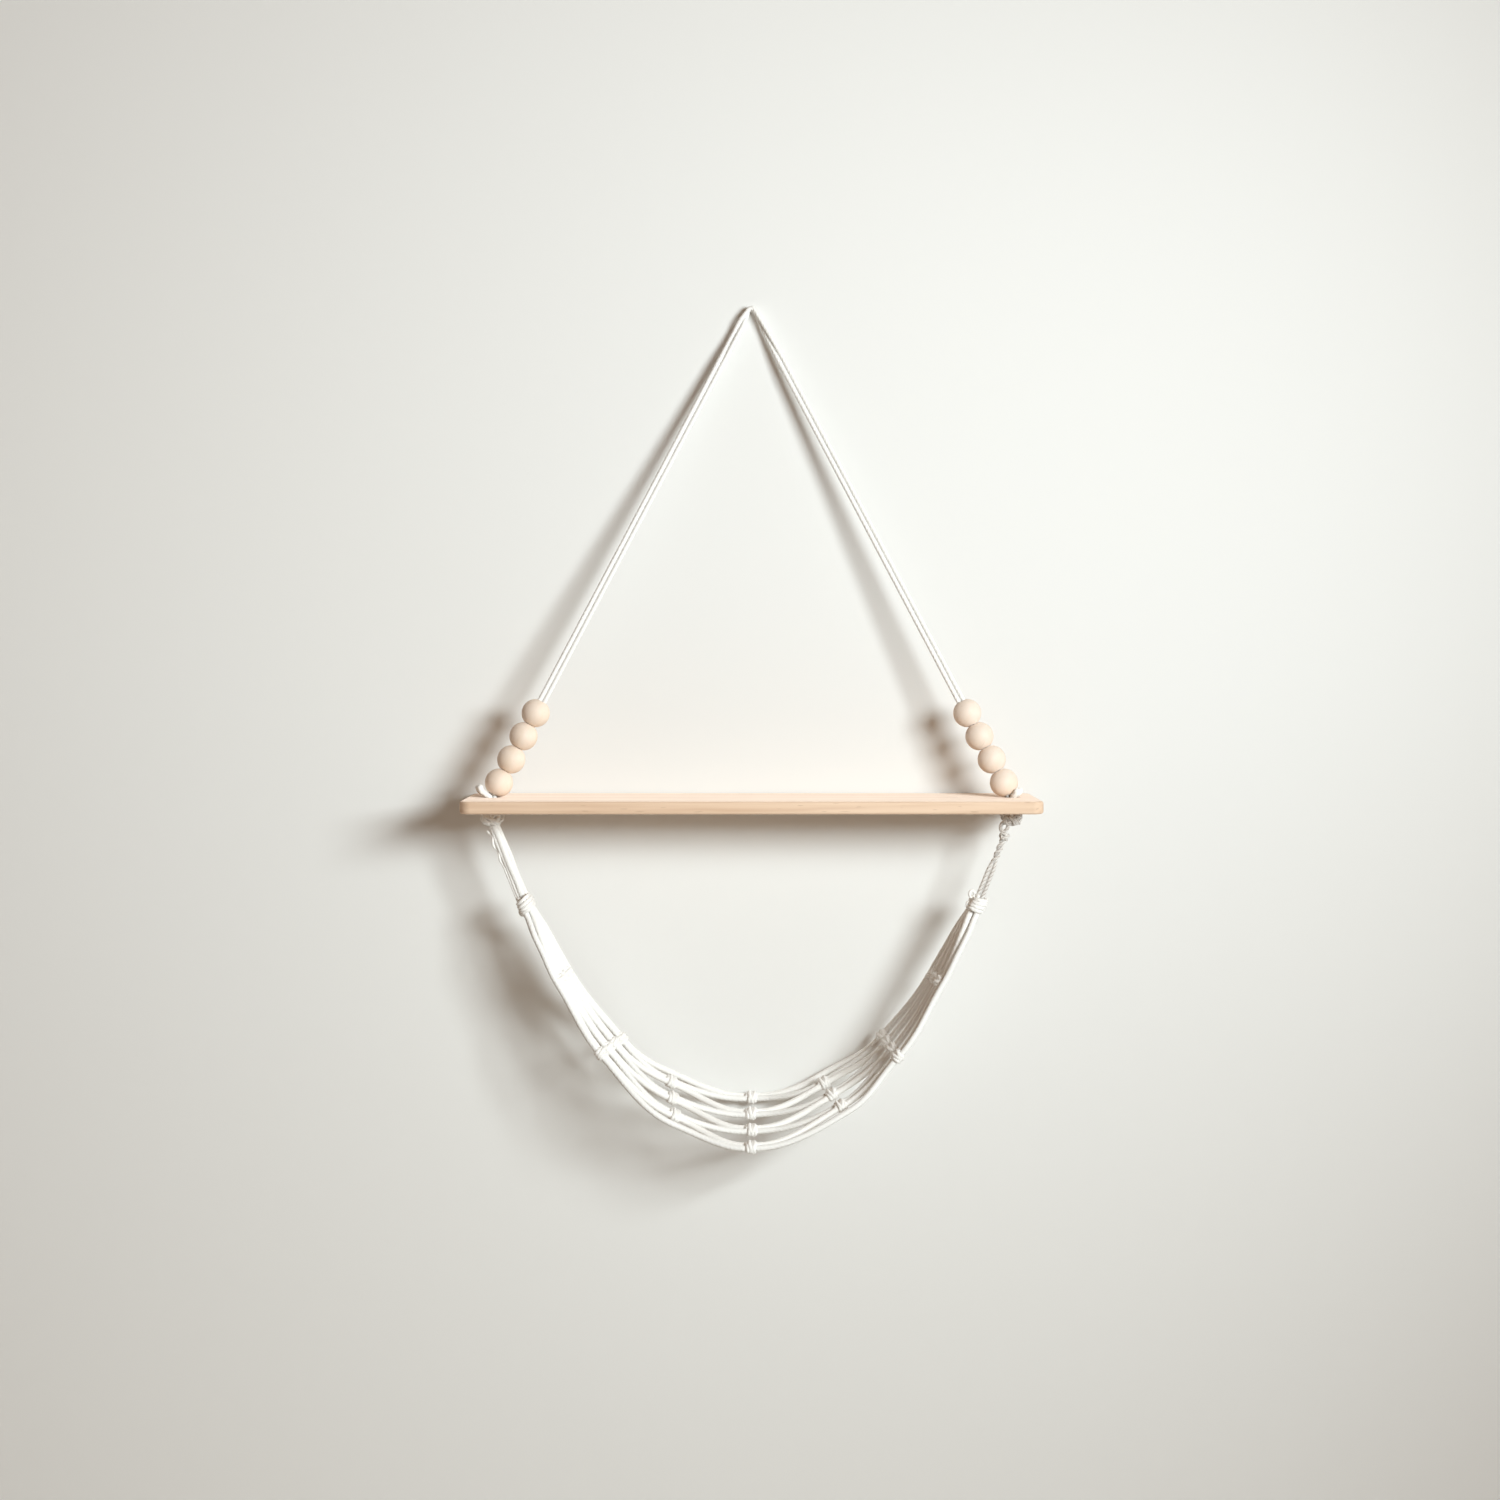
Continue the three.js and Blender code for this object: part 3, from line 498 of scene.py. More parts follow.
def tube(path, radius, lay, sides=14, closed=False, way=1, groove=1.0):
    """Rings round a path, with plies laid round it: vertices, faces and a UV for each corner."""
    count = len(path)
    if closed:
        tangents = unit(np.roll(path, -1, axis=0) - np.roll(path, 1, axis=0))
    else:
        tangents = unit(np.gradient(path, axis=0))
    normals = carried_normals(tangents)
    binormals = np.cross(tangents, normals)
    gaps = np.linalg.norm(np.diff(np.vstack([path, path[:1]]), axis=0), axis=1)
    along = np.concatenate([[0], np.cumsum(gaps)])
    total = along[-1] if closed else along[-2]
    turns = total / lay.rope.ply_pitch
    slip = 0.0
    if closed:
        turns = max(1, round(turns * PLIES)) / PLIES
        last = normals[-1] - tangents[0] * np.dot(normals[-1], tangents[0])
        slip = math.atan2(np.dot(last, binormals[0]), np.dot(last, normals[0]))
    shares = along[:count] / total
    spin = way * 2 * math.pi * turns * shares - slip * shares
    radii = np.broadcast_to(np.asarray(radius, float), (count,))
    angles = 2 * math.pi * np.arange(sides) / sides
    lobes = np.abs(np.cos(PLIES * angles / 2)) ** PLY_FULLNESS - PLY_MIDDLE
    lobes = 1 + groove * lay.rope.ply_groove * lobes
    turned = angles[None, :] + spin[:, None]
    out = np.cos(turned)[..., None] * normals[:, None]
    out = out + np.sin(turned)[..., None] * binormals[:, None]
    rings = path[:, None] + (radii[:, None] * lobes)[..., None] * out
    last_ring = count if closed else count - 1
    ring, corner = (grid.ravel() for grid in np.mgrid[0:last_ring, 0:sides])
    after, beside = (ring + 1) % count, (corner + 1) % sides
    here, there = ring * sides, after * sides
    faces = np.stack([here + corner, here + beside, there + beside, there + corner], 1)
    around = 2 * math.pi * float(np.median(radii))
    v_total = max(1, round(total / around)) if closed else total / around
    v = np.concatenate([shares, [1.0]]) * v_total
    u = np.arange(sides + 1) / sides
    uvs = np.stack(
        [
            np.stack([u[corner], v[ring]], 1), np.stack([u[corner + 1], v[ring]], 1),
            np.stack([u[corner + 1], v[ring + 1]], 1), np.stack([u[corner], v[ring + 1]], 1),
        ],
        1,
    )
    verts, faces, uvs = rings.reshape(-1, 3), faces.tolist(), uvs.reshape(-1, 2)
    if closed:
        return verts, faces, uvs
    caps = []
    for j in range(sides):
        k = (j + 1) % sides
        end = (count - 1) * sides
        faces += [[k, j, len(verts)], [end + j, end + k, len(verts) + 1]]
        middle = (u[j] + u[j + 1]) / 2
        caps += [(u[j + 1], 0), (u[j], 0), (middle, -0.1)]
        caps += [(u[j], v_total), (u[j + 1], v_total), (middle, v_total + 0.1)]
    return np.vstack([verts, path[:1], path[-1:]]), faces, np.vstack([uvs, caps])


def rounded_ends(path, radius, both=True):
    """Radii along a path whose ends, or its start alone, are domed."""
    gaps = np.linalg.norm(np.diff(path, axis=0), axis=1)
    along = np.concatenate([[0], np.cumsum(gaps)])
    radii = np.broadcast_to(np.asarray(radius, float), (len(path),)).copy()
    for places in (along, along[-1] - along) if both else (along,):
        near = np.clip(places / radii, 0, 1)
        radii *= np.sqrt(np.clip(1 - (1 - near) ** 2, DOME_TIP, 1))
    return radii


def cord_piece(name, tubes, material):
    """One mesh object at the origin made of the given tubes."""
    verts, faces, uvs, offset = [], [], [], 0
    for tube_verts, tube_faces, tube_uvs in tubes:
        verts.append(tube_verts)
        faces += [[index + offset for index in face] for face in tube_faces]
        uvs.append(tube_uvs)
        offset += len(tube_verts)
    mesh = bpy.data.meshes.new(name)
    mesh.from_pydata(np.vstack(verts).tolist(), [], faces)
    layer = mesh.uv_layers.new(name="Lay")
    layer.data.foreach_set("uv", np.vstack(uvs).astype(np.float32).ravel())
    mesh.shade_smooth()
    mesh.materials.append(material)
    mesh.validate()
    obj = bpy.data.objects.new(name, mesh)
    bpy.context.scene.collection.objects.link(obj)
    return obj


def winding(place, half_wide, half_high, half_long, turns, bights, swell):
    """A closed winding round a line that goes over and under itself, as in a tied knot."""
    points = []
    for t in np.linspace(0, 2 * math.pi, WINDING_POINTS, endpoint=False):
        out = swell * math.cos(bights * t)
        across = (half_wide + out) * math.cos(turns * t)
        up = (half_high + out) * math.sin(turns * t)
        points.append(in_frame(place, across, up, half_long * math.sin(bights * t)))
    return points


def ring_loop(centre, wide_axis, high_axis, wide, high, lean):
    """Points of a small closed loop of cord."""
    points = []
    for t in np.linspace(0, 2 * math.pi, LOOP_POINTS, endpoint=False):
        point = centre + wide_axis * (wide * math.cos(t)) + high_axis * (high * math.sin(t))
        points.append(point + lean * math.cos(t))
    return points


def closed_tube(points, step, radius, lay, **options):
    """A tube along a closed smooth curve."""
    return tube(smooth_path(points, step, True), radius, lay, closed=True, **options)


def spare_loop(lay, centre, tall):
    """A small loop of spare cord that stands out of a knot."""
    wide = lay.knots.loop_radius
    loop = ring_loop(centre, X_AXIS, Z_AXIS, wide, wide * tall, Y_AXIS * LOOP_LEAN)
    return closed_tube(loop, LOOP_STEP, lay.knots.loop_cord / 2, lay, sides=12)


# Materials


def feed(tree, sockets, values):
    """Sets a node's inputs by name or place, to plain values or links."""
    for name, value in values.items():
        if isinstance(value, bpy.types.NodeSocket):
            tree.links.new(value, sockets[name])
        else:
            sockets[name].default_value = value


def add_node(tree, kind, place, inputs=None, **settings):
    node = tree.nodes.new(f"ShaderNode{kind}")
    node.location = place
    for name, value in settings.items():
        setattr(node, name, value)
    feed(tree, node.inputs, inputs or {})
    return node


def maths(tree, operation, place, *values):
    """A Math node's output, from sockets or plain numbers."""
    return add_node(tree, "Math", place, dict(enumerate(values)), operation=operation).outputs[0]


def noise(tree, place, vector, scale, detail=2):
    inputs = {"Vector": vector, "Scale": scale, "Detail": detail}
    return add_node(tree, "TexNoise", place, inputs).outputs["Fac"]


def ripple(tree, place, phase, waves):
    """A wave that is 1 where the phase is whole, and 0 between."""
    x, y = place
    angle = maths(tree, "MULTIPLY", (x - 320, y), phase, 2 * math.pi * waves)
    wave = maths(tree, "COSINE", (x - 160, y), angle)
    return maths(tree, "MULTIPLY_ADD", place, wave, 0.5, 0.5)


def mix_colours(tree, place, share, *colours):
    """A colour that goes from the first to the second by a mask."""
    first, second = (
        tone if isinstance(tone, bpy.types.NodeSocket) else (*tone, 1) for tone in colours
    )
    inputs = {0: share, 6: first, 7: second}
    return add_node(tree, "Mix", place, inputs, data_type="RGBA").outputs[2]


def mix_shaders(tree, share, first, second, output):
    """Sends two shaders to an output, the second by a share."""
    inputs = {0: share, 1: first.outputs[0], 2: second.outputs[0]}
    mix = add_node(tree, "MixShader", (output.location.x - 200, 0), inputs)
    tree.links.new(mix.outputs[0], output.inputs["Surface"])


def new_group(name, inputs, outputs):
    """An empty node group with named sockets, given as (name, kind, default)."""
    group = bpy.data.node_groups.new(name, "ShaderNodeTree")
    for direction, sockets in (("INPUT", inputs), ("OUTPUT", outputs)):
        for socket_name, kind, *default in sockets:
            socket = group.interface.new_socket(
                socket_name, in_out=direction, socket_type=f"NodeSocket{kind}"
            )
            if default:
                socket.default_value = default[0]
    start, end = group.nodes.new("NodeGroupInput"), group.nodes.new("NodeGroupOutput")
    start.location, end.location = (-1200, 0), (600, 0)
    return group, start.outputs, end.inputs


def yarn_group():
    """Fine yarns laid round a cord by its UV map, with loose fibres, and a mask of painted shade
    for the creases between yarns and the grooves between plies.
    """
    group, start, end = new_group(
        "Yarn lay",
        (("Yarns", "Float", 15.0), ("Slant", "Float", -7.0), ("Wander", "Float", 0.9)),
        (("Crease", "Float"), ("Height", "Float"), ("Tint", "Float")),
    )
    coords = add_node(group, "TexCoord", (-1400, -300)).outputs
    split = add_node(group, "SeparateXYZ", (-1000, -200), {0: coords["UV"]}).outputs
    around = maths(group, "MULTIPLY", (-800, 0), split["X"], start["Yarns"])
    phase = maths(group, "MULTIPLY_ADD", (-640, -60), split["Y"], start["Slant"], around)
    drift = noise(group, (-1000, -420), coords["Object"], YARN_DRIFT)
    phase = maths(group, "MULTIPLY_ADD", (-480, -60), drift, start["Wander"], phase)
    lane = ripple(group, (0, -60), phase, 1)
    # Painted shade in the creases between the yarns
    crease_shade = maths(group, "SUBTRACT", (120, 60), 1.0, lane)
    crease_shade = maths(group, "POWER", (260, 60), crease_shade, CREASE_SHADE_POWER)
    # Painted shade in the grooves between the plies, merged below with the creases' painted shade
    groove = maths(group, "SUBTRACT", (120, 260), 1.0, ripple(group, (0, 260), split["X"], PLIES))
    groove = maths(group, "POWER", (260, 260), groove, GROOVE_SHADE_POWER)
    fibres = noise(group, (-500, -420), coords["Object"], YARN_FIBRES, 3)
    feed(group, end, {
        "Crease": maths(group, "MAXIMUM", (400, 160), crease_shade, groove),
        "Height": maths(group, "MULTIPLY_ADD", (260, -160), fibres, FIBRE_SHARE, lane),
        "Tint": noise(group, (-500, -660), coords["Object"], YARN_TINT),
    })
    return group


def grain_group():
    """Long soft grain, fine pores and short flecks, along the first axis of its vector."""
    group, start, end = new_group(
        "Beech grain",
        (("Vector", "Vector"), ("Streaks", "Float", 1.0), ("Flecks", "Float", 1.0)),
        (("Grain", "Float"), ("Fleck", "Float"), ("Height", "Float")),
    )
    layers, masks = [], []
    for index, (stretch, detail, low, high) in enumerate(GRAIN_BANDS):
        y = -260 * index
        inputs = {"Vector": start["Vector"], "Scale": stretch}
        vector = add_node(group, "Mapping", (-900, y), inputs).outputs[0]
        layers.append(noise(group, (-700, y), vector, 1, detail))
        inputs = {"Value": layers[-1], "From Min": low, "From Max": high}
        mask = add_node(group, "MapRange", (-460, y), inputs, interpolation_type="SMOOTHSTEP")
        masks.append(mask.outputs[0])
    fine = maths(group, "MULTIPLY", (-300, -200), masks[1], 1 - GRAIN_BROAD)
    mixed = maths(group, "MULTIPLY_ADD", (-160, 0), masks[0], GRAIN_BROAD, fine)
    flecks = maths(group, "MULTIPLY", (0, -400), masks[2], start["Flecks"])
    feed(group, end, {
        "Grain": maths(group, "MULTIPLY", (0, 0), mixed, start["Streaks"]),
        "Fleck": flecks,
        "Height": maths(group, "SUBTRACT", (200, -200), layers[1], flecks),
    })
    return group


def shared_group(tree, place, name, builder, inputs=None):
    """A node of a group that all materials share, and its outputs."""
    shared = bpy.data.node_groups.get(name) or builder()
    return add_node(tree, "Group", place, inputs, node_tree=shared).outputs


def new_material(name, **inputs):
    """A material with a Principled shader, and its tree and shader."""
    material = bpy.data.materials.new(name)
    material.use_nodes = True
    tree = material.node_tree
    shader = tree.nodes["Principled BSDF"]
    feed(tree, shader.inputs, {key.replace("_", " "): value for key, value in inputs.items()})
    return material, tree, shader


def bump(tree, height, strength, distance):
    """A bump's normal."""
    inputs = {"Strength": strength, "Distance": distance, "Height": height}
    return add_node(tree, "Bump", (-200, -300), inputs).outputs["Normal"]


def cotton_material(name):
    """Soft cotton: bright yarns with painted shade, warm or dark, in the creases between them, and
    a matt sheen.
    """
    found = bpy.data.materials.get(name)
    if found:
        return found
    finish = bpy.context.scene.shelf_finishes
    # The shaded knot cotton gets dark painted shade in its creases, and the others get a pale one
    shade = finish.knot_crease_shade if name == "Shaded knot cotton" else finish.cotton_crease_shade
    warm = [part * tone for part, tone in zip(finish.cotton, COTTON_WARMTH)]
    material, tree, shader = new_material(
        name, Roughness=0.92, Sheen_Weight=0.35, Sheen_Roughness=0.6, Specular_IOR_Level=0.2
    )
    lay = shared_group(tree, (-800, 0), "Yarn lay", yarn_group)
    # How far painted shade darkens this cotton's creases
    crease_shade = maths(tree, "MULTIPLY", (-560, 0), lay["Crease"], COTTON_CREASE_SHADE[name])
    base = mix_colours(tree, (-380, 100), crease_shade, finish.cotton, shade)
    tint = maths(tree, "MULTIPLY", (-560, 260), lay["Tint"], YARN_TINT_SHARE)
    feed(tree, shader.inputs, {
        "Base Color": mix_colours(tree, (-200, 200), tint, base, warm),
        "Normal": bump(tree, lay["Height"], YARN_BUMP, YARN_DEPTH),
    })
    return material


def wood_material(name, light, dark, roughness, turn, streaks, flecks, sheen):
    """Pale beech with soft grain, fine pores and short darker flecks."""
    material, tree, shader = new_material(
        name, Sheen_Weight=sheen, Sheen_Roughness=0.4, Sheen_Tint=WOOD_SHEEN,
        Specular_IOR_Level=0.5 * (1 - sheen),
    )
    coords = add_node(tree, "TexCoord", (-1300, 0)).outputs
    inputs = {"Vector": coords["Object"], "Rotation": turn}
    vector = add_node(tree, "Mapping", (-1120, 0), inputs).outputs["Vector"]
    inputs = {"Vector": vector, "Streaks": streaks, "Flecks": flecks}
    grain = shared_group(tree, (-900, 0), "Beech grain", grain_group, inputs)
    base = mix_colours(tree, (-600, 100), grain["Grain"], light, dark)
    fleck_tone = [part * FLECK_SHADE for part in dark]
    share = maths(tree, "MULTIPLY", (-600, -150), grain["Fleck"], FLECK_SHARE)
    ends = {"To Min": roughness - SMOOTHER, "To Max": roughness + ROUGHER}
    inputs = {"Value": grain["Grain"], **ends}
    feed(tree, shader.inputs, {
        "Base Color": mix_colours(tree, (-380, 100), share, base, fleck_tone),
        "Roughness": add_node(tree, "MapRange", (-380, -150), inputs).outputs[0],
        "Normal": bump(tree, grain["Height"], GRAIN_BUMP, GRAIN_DEPTH),
    })
    return material


def paint(name, shade, tones, scale, **inputs):
    """A softly mottled paint: its material, tree, shader and colour."""
    material, tree, shader = new_material(name, **inputs)
    coords = add_node(tree, "TexCoord", (-900, 0)).outputs
    mask = noise(tree, (-700, 0), coords["Object"], scale)
    other = [part * tone for part, tone in zip(shade, tones)]
    mottled = mix_colours(tree, (-400, 0), mask, shade, other)
    feed(tree, shader.inputs, {"Base Color": mottled})
    return material, tree, shader, mottled


def wall_material():
    """Matt wall paint, seen through from behind."""
    wall = bpy.context.scene.shelf_finishes.wall
    material, tree, shader, _ = paint(
        "Wall paint", wall, (1, 0.995, 0.985), 1.4, Roughness=0.95, Specular_IOR_Level=0.1
    )
    behind = add_node(tree, "NewGeometry", (-200, 300)).outputs["Backfacing"]
    clear = add_node(tree, "BsdfTransparent", (-200, -200))
    mix_shaders(tree, behind, shader, clear, tree.nodes["Material Output"])
    return material


def floor_material():
    """Pale floor, which stays pale for the camera where little light reaches it."""
    floor = bpy.context.scene.shelf_finishes.floor
    tones = (0.97, 0.97, 0.97)
    material, tree, shader, mottled = paint("Pale floor", floor, tones, 2.5, Roughness=0.8)
    glow = add_node(tree, "Emission", (-200, -300), {"Color": mottled})
    seen = add_node(tree, "LightPath", (-400, 400)).outputs["Is Camera Ray"]
    share = maths(tree, "MULTIPLY", (-100, 300), seen, FLOOR_GLOW)
    mix_shaders(tree, share, shader, glow, tree.nodes["Material Output"])
    return material


# Modelling by hand


def select_where(obj, kind, test):
    """In edit mode, selects the edges or faces that pass a test, and nothing else."""
    bpy.ops.mesh.select_mode(type=kind)
    bpy.ops.mesh.select_all(action="DESELECT")
    mesh = bmesh.from_edit_mesh(obj.data)
    for part in mesh.edges if kind == "EDGE" else mesh.faces:
        if test(part):
            part.select_set(True)
    mesh.select_flush_mode()
    bmesh.update_edit_mesh(obj.data)


def apply_modifier(obj, kind, **values):
    modifier = obj.modifiers.new(kind.title(), kind)
    for name, value in values.items():
        setattr(modifier, name, value)
    bpy.context.view_layer.objects.active = obj
    bpy.ops.object.modifier_apply(modifier=modifier.name)


def only(obj):
    """Selects one object alone and makes it active."""
    bpy.ops.object.select_all(action="DESELECT")
    obj.select_set(True)
    bpy.context.view_layer.objects.active = obj


def settle(obj):
    """Moves an object's place into its mesh."""
    only(obj)
    bpy.ops.object.transform_apply(location=True, rotation=True, scale=True)


def hole_cutter(lay, x):
    """A round cutter whose ends flare to ease the hole's rims."""
    board = lay.board
    middle = Vector((x, lay.middle_y, (lay.top_z + lay.bottom_z) / 2))
    half = board.thickness / 2 - board.hole_easing
    bpy.ops.object.select_all(action="DESELECT")
    bpy.ops.mesh.primitive_cylinder_add(
        vertices=72, radius=board.hole_radius, depth=2 * half, location=middle
    )
    cutter = bpy.context.object
    settle(cutter)
    bpy.ops.object.mode_set(mode="EDIT")
    for way in (1, -1):
        select_where(cutter, "FACE", lambda face: face.normal.z * way > UPRIGHT)
        radius, level = board.hole_radius, half
        for angle in (30, 60, 90):
            turn = math.radians(angle)
            wider = board.hole_radius + board.hole_easing * (1 - math.cos(turn))
            higher = half + board.hole_easing * math.sin(turn)
            bpy.ops.mesh.extrude_region_move(
                TRANSFORM_OT_translate={"value": (0, 0, way * (higher - level))}
            )
            bpy.ops.transform.resize(
                value=(wider / radius, wider / radius, 1), center_override=middle
            )
            radius, level = wider, higher
        spare = (0, 0, way * CUTTER_SPARE)
        bpy.ops.mesh.extrude_region_move(TRANSFORM_OT_translate={"value": spare})
    bpy.ops.object.mode_set(mode="OBJECT")
    return cutter


def model_board(lay):
    """A cube rounded at its corners and along its edges, with two eased holes."""
    board = lay.board
    centre = (0, lay.middle_y, (lay.top_z + lay.bottom_z) / 2)
    bpy.ops.object.select_all(action="DESELECT")
    bpy.ops.mesh.primitive_cube_add(size=1, location=centre)
    obj = bpy.context.object
    obj.scale = (board.length, board.depth, board.thickness)
    settle(obj)
    bpy.ops.object.mode_set(mode="EDIT")
    select_where(obj, "EDGE", lambda edge: abs(edge.verts[0].co.z - edge.verts[1].co.z) > SHORT)
    bpy.ops.mesh.bevel(offset=board.corner, segments=12, affect="EDGES")
    select_where(obj, "EDGE", lambda edge: abs(edge.verts[0].co.z - edge.verts[1].co.z) < LEVEL)
    bpy.ops.mesh.bevel(offset=board.edge, segments=6, affect="EDGES")
    bpy.ops.object.mode_set(mode="OBJECT")
    for x in (-lay.hole_x, lay.hole_x):
        cutter = hole_cutter(lay, x)
        only(obj)
        apply_modifier(obj, "BOOLEAN", operation="DIFFERENCE", solver="EXACT", object=cutter)
        bpy.data.objects.remove(cutter)
    only(obj)
    bpy.ops.object.shade_smooth_by_angle(angle=math.radians(40))
    apply_modifier(obj, "WEIGHTED_NORMAL", keep_sharp=True)
    return obj


def model_bead(lay):
    """A turned ball, bored through, with eased mouths, standing on the Z axis at the origin."""
    bead, mouth, level = lay.bead, lay.bead_mouth, lay.bead_half
    bpy.ops.object.select_all(action="DESELECT")
    bpy.ops.mesh.primitive_uv_sphere_add(segments=64, ring_count=40, radius=bead.diameter / 2)
    obj = bpy.context.object
    bpy.ops.object.mode_set(mode="EDIT")
    for way in (1, -1):
        bpy.ops.mesh.select_all(action="SELECT")
        bpy.ops.mesh.bisect(plane_co=(0, 0, way * level), plane_no=(0, 0, way), clear_outer=True)
        select_where(obj, "EDGE", lambda edge: edge.is_boundary and edge.verts[0].co.z * way > 0)
        bpy.ops.mesh.extrude_edges_move(TRANSFORM_OT_translate={"value": (0, 0, -way * bead.rim)})
        ratio = bead.bore / mouth
        bpy.ops.transform.resize(value=(ratio, ratio, 1), center_override=(0, 0, way * level))
    select_where(obj, "EDGE", lambda edge: edge.is_boundary)
    bpy.ops.mesh.bridge_edge_loops()
    near_rim = level - bead.rim / 4
    select_where(
        obj, "EDGE",
        lambda edge: all(abs(v.co.z) > near_rim for v in edge.verts)
        and all(abs(v.co.xy.length - mouth) < SHORT for v in edge.verts),
    )
    bpy.ops.mesh.bevel(offset=RIM_BEVEL, segments=2, affect="EDGES")
    bpy.ops.mesh.select_all(action="SELECT")
    bpy.ops.mesh.normals_make_consistent(inside=False)
    bpy.ops.object.mode_set(mode="OBJECT")
    bpy.ops.object.shade_smooth_by_angle(angle=math.radians(30))
    return obj


# Operators


class SHELF_OT_stage(Operator):
    """Adds the camera, the wall, the floor and the lights"""

    bl_idname = "shelf.stage"
    bl_label = "Stage, camera and light"

    # The camera's place sideways, its sensor's width in millimetres and how far it sees
    aside, sensor, reach = -0.0013, 36, 50
    # Each plane's name, width, middle, tilt and material
    planes = (
        ("Wall", 7, (0, 0.0064, -0.4), math.pi / 2, wall_material),
        ("Floor", 12, (0, 0, -1.4), 0, floor_material),
    )
    key_spread, key_colour = math.radians(142), (0.9, 0.98, 0.995)
    fill_colour, backdrop = (1.0, 0.62, 0.36, 1), (0.8, 0.79, 0.77, 1)

    def execute(self, context):
        scene = context.scene
        lay, stage = Layout(scene), scene.shelf_stage
        scene.view_settings.view_transform = "Standard"
        camera = bpy.data.cameras.new("Camera")
        camera.lens, camera.sensor_width, camera.clip_end = stage.lens, self.sensor, self.reach
        eye = bpy.data.objects.new("Camera", camera)
        away = lay.middle_y - stage.camera_distance
        eye.location = (self.aside, away, lay.top_z + stage.camera_height)
        eye.rotation_euler = (math.pi / 2 - stage.tilt, 0, 0)
        scene.collection.objects.link(eye)
        scene.camera = eye
        for name, width, place, turn, material in self.planes:
            bpy.ops.object.select_all(action="DESELECT")
            bpy.ops.mesh.primitive_plane_add(size=width, location=place, rotation=(turn, 0, 0))
            plane = bpy.context.object
            plane.name = name
            plane.data.materials.append(material())
        self.add_key(scene, stage)
        self.add_room(scene, stage)
        return {"FINISHED"}

    def add_key(self, scene, stage):
        light = bpy.data.lights.new("Key", "AREA")
        light.shape, light.size, light.size_y = "RECTANGLE", stage.key_width, stage.key_height
        light.spread, light.energy, light.color = self.key_spread, stage.key_power, self.key_colour
        key = bpy.data.objects.new("Key", light)
        key.location = stage.key_place
        way = Vector(stage.key_aim) - key.location
        key.rotation_euler = way.to_track_quat("-Z", "Y").to_euler()
        scene.collection.objects.link(key)

    def add_room(self, scene, stage):
        """Warm weak light all round, which the camera sees as a pale backdrop."""
        scene.world = bpy.data.worlds.new("Room")
        scene.world.use_nodes = True
        tree = scene.world.node_tree
        tree.nodes.clear()
        inputs = {"Color": self.fill_colour, "Strength": stage.fill}
        room = add_node(tree, "Background", (0, 0), inputs)
        pale = add_node(tree, "Background", (0, -200), {"Color": self.backdrop})
        seen = add_node(tree, "LightPath", (0, 300)).outputs["Is Camera Ray"]
        mix_shaders(tree, seen, room, pale, add_node(tree, "OutputWorld", (450, 0)))


class SHELF_OT_ropes(Operator):
    """Adds the two strands of the hanging rope"""

    bl_idname = "shelf.ropes"
    bl_label = "Hanging rope"

    def execute(self, context):
        lay = Layout(context.scene)
        material = cotton_material("Rope cotton")
        for name, way in (("outer", 1), ("inner", -1)):
            path = smooth_path(rope_points(lay, way), ROPE_STEP)
            body = tube(path, lay.rope.diameter / 2, lay, sides=18)
            obj = cord_piece(f"Rope_{name}", [body], material)
            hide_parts(f"hang_rope_{name}")
            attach(obj, "shelf")
        return {"FINISHED"}


class SHELF_OT_net_cords(Operator):
    """Adds the net's eight long cords"""

    bl_idname = "shelf.net_cords"
    bl_label = "Net cords"

    groove = 0.45

    def execute(self, context):
        lay = Layout(context.scene)
        material = cotton_material("Net cotton")
        for cord in range(lay.net.cords):
            path = smooth_path(net_cord_points(lay, cord), NET_STEP)
            way = 1 if cord % 2 else -1
            body = tube(path, lay.net.cord / 2, lay, sides=16, way=way, groove=self.groove)
            obj = cord_piece(f"Net_cord_{cord + 1}", [body], material)
            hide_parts(f"net_cord_{cord + 1}")
            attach(obj, "net")
        return {"FINISHED"}


class SHELF_OT_cord_ends(Operator):
    """Adds the cord ends that come up through the holes"""

    bl_idname = "shelf.cord_ends"
    bl_label = "Cord ends"

    # A cord end's start: its share of the spread, and how far under the knot's middle it lies
    start_share, start_drop = 0.6, 0.001

    def execute(self, context):
        lay = Layout(context.scene)
        material = cotton_material("Rope cotton")
        for side_name, side in SIDES:
            for tail_name, *shares, swell in TAIL_ENDS[side_name]:
                path = smooth_path(self.route(lay, side, *shares), END_STEP)
                flare = 1 + swell * np.linspace(0, 1, len(path))
                radii = rounded_ends(path, flare * lay.rope.diameter / 2)
                body = tube(path, radii, lay, sides=18, groove=SOFT_GROOVE)
                obj = cord_piece(f"Cord_end_{side_name}_{tail_name}", [body], material)
                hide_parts(f"cord_tail_{side_name}_{tail_name}")
                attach(obj, "shelf")
        return {"FINISHED"}

    def route(self, lay, side, way, reach, spread, rise):
        knots = lay.knots
        aside = way * knots.tail_spread
        hole = Vector((side * lay.hole_x, lay.middle_y + aside, lay.top_z))
        foot = Vector((hole.x, hole.y, lay.bottom_z))
        inside = lay.stopper(side) + Vector((0, aside * self.start_share, -self.start_drop))
        points = [inside, foot]
        for out, apart, up in TAIL_WAY:
            shift = Vector((
                side * out * knots.tail_reach * reach,
                way * apart * knots.tail_spread * (spread - 1),
                up * knots.tail_rise * rise,
            ))
            points.append(hole + shift)
        return points


class SHELF_OT_board(Operator):
    """Models the board"""

    bl_idname = "shelf.board"
    bl_label = "Board"

    finish = {"roughness": 0.75, "turn": (0, 0, 0), "streaks": 0.95, "flecks": 1, "sheen": 0.55}

    def execute(self, context):
        colours = context.scene.shelf_finishes
        obj = model_board(Layout(context.scene))
        obj.name = "Board"
        obj.data.materials.append(
            wood_material("Board beech", colours.beech, colours.beech_dark, **self.finish)
        )
        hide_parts("board")
        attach(obj, "shelf")
        return {"FINISHED"}


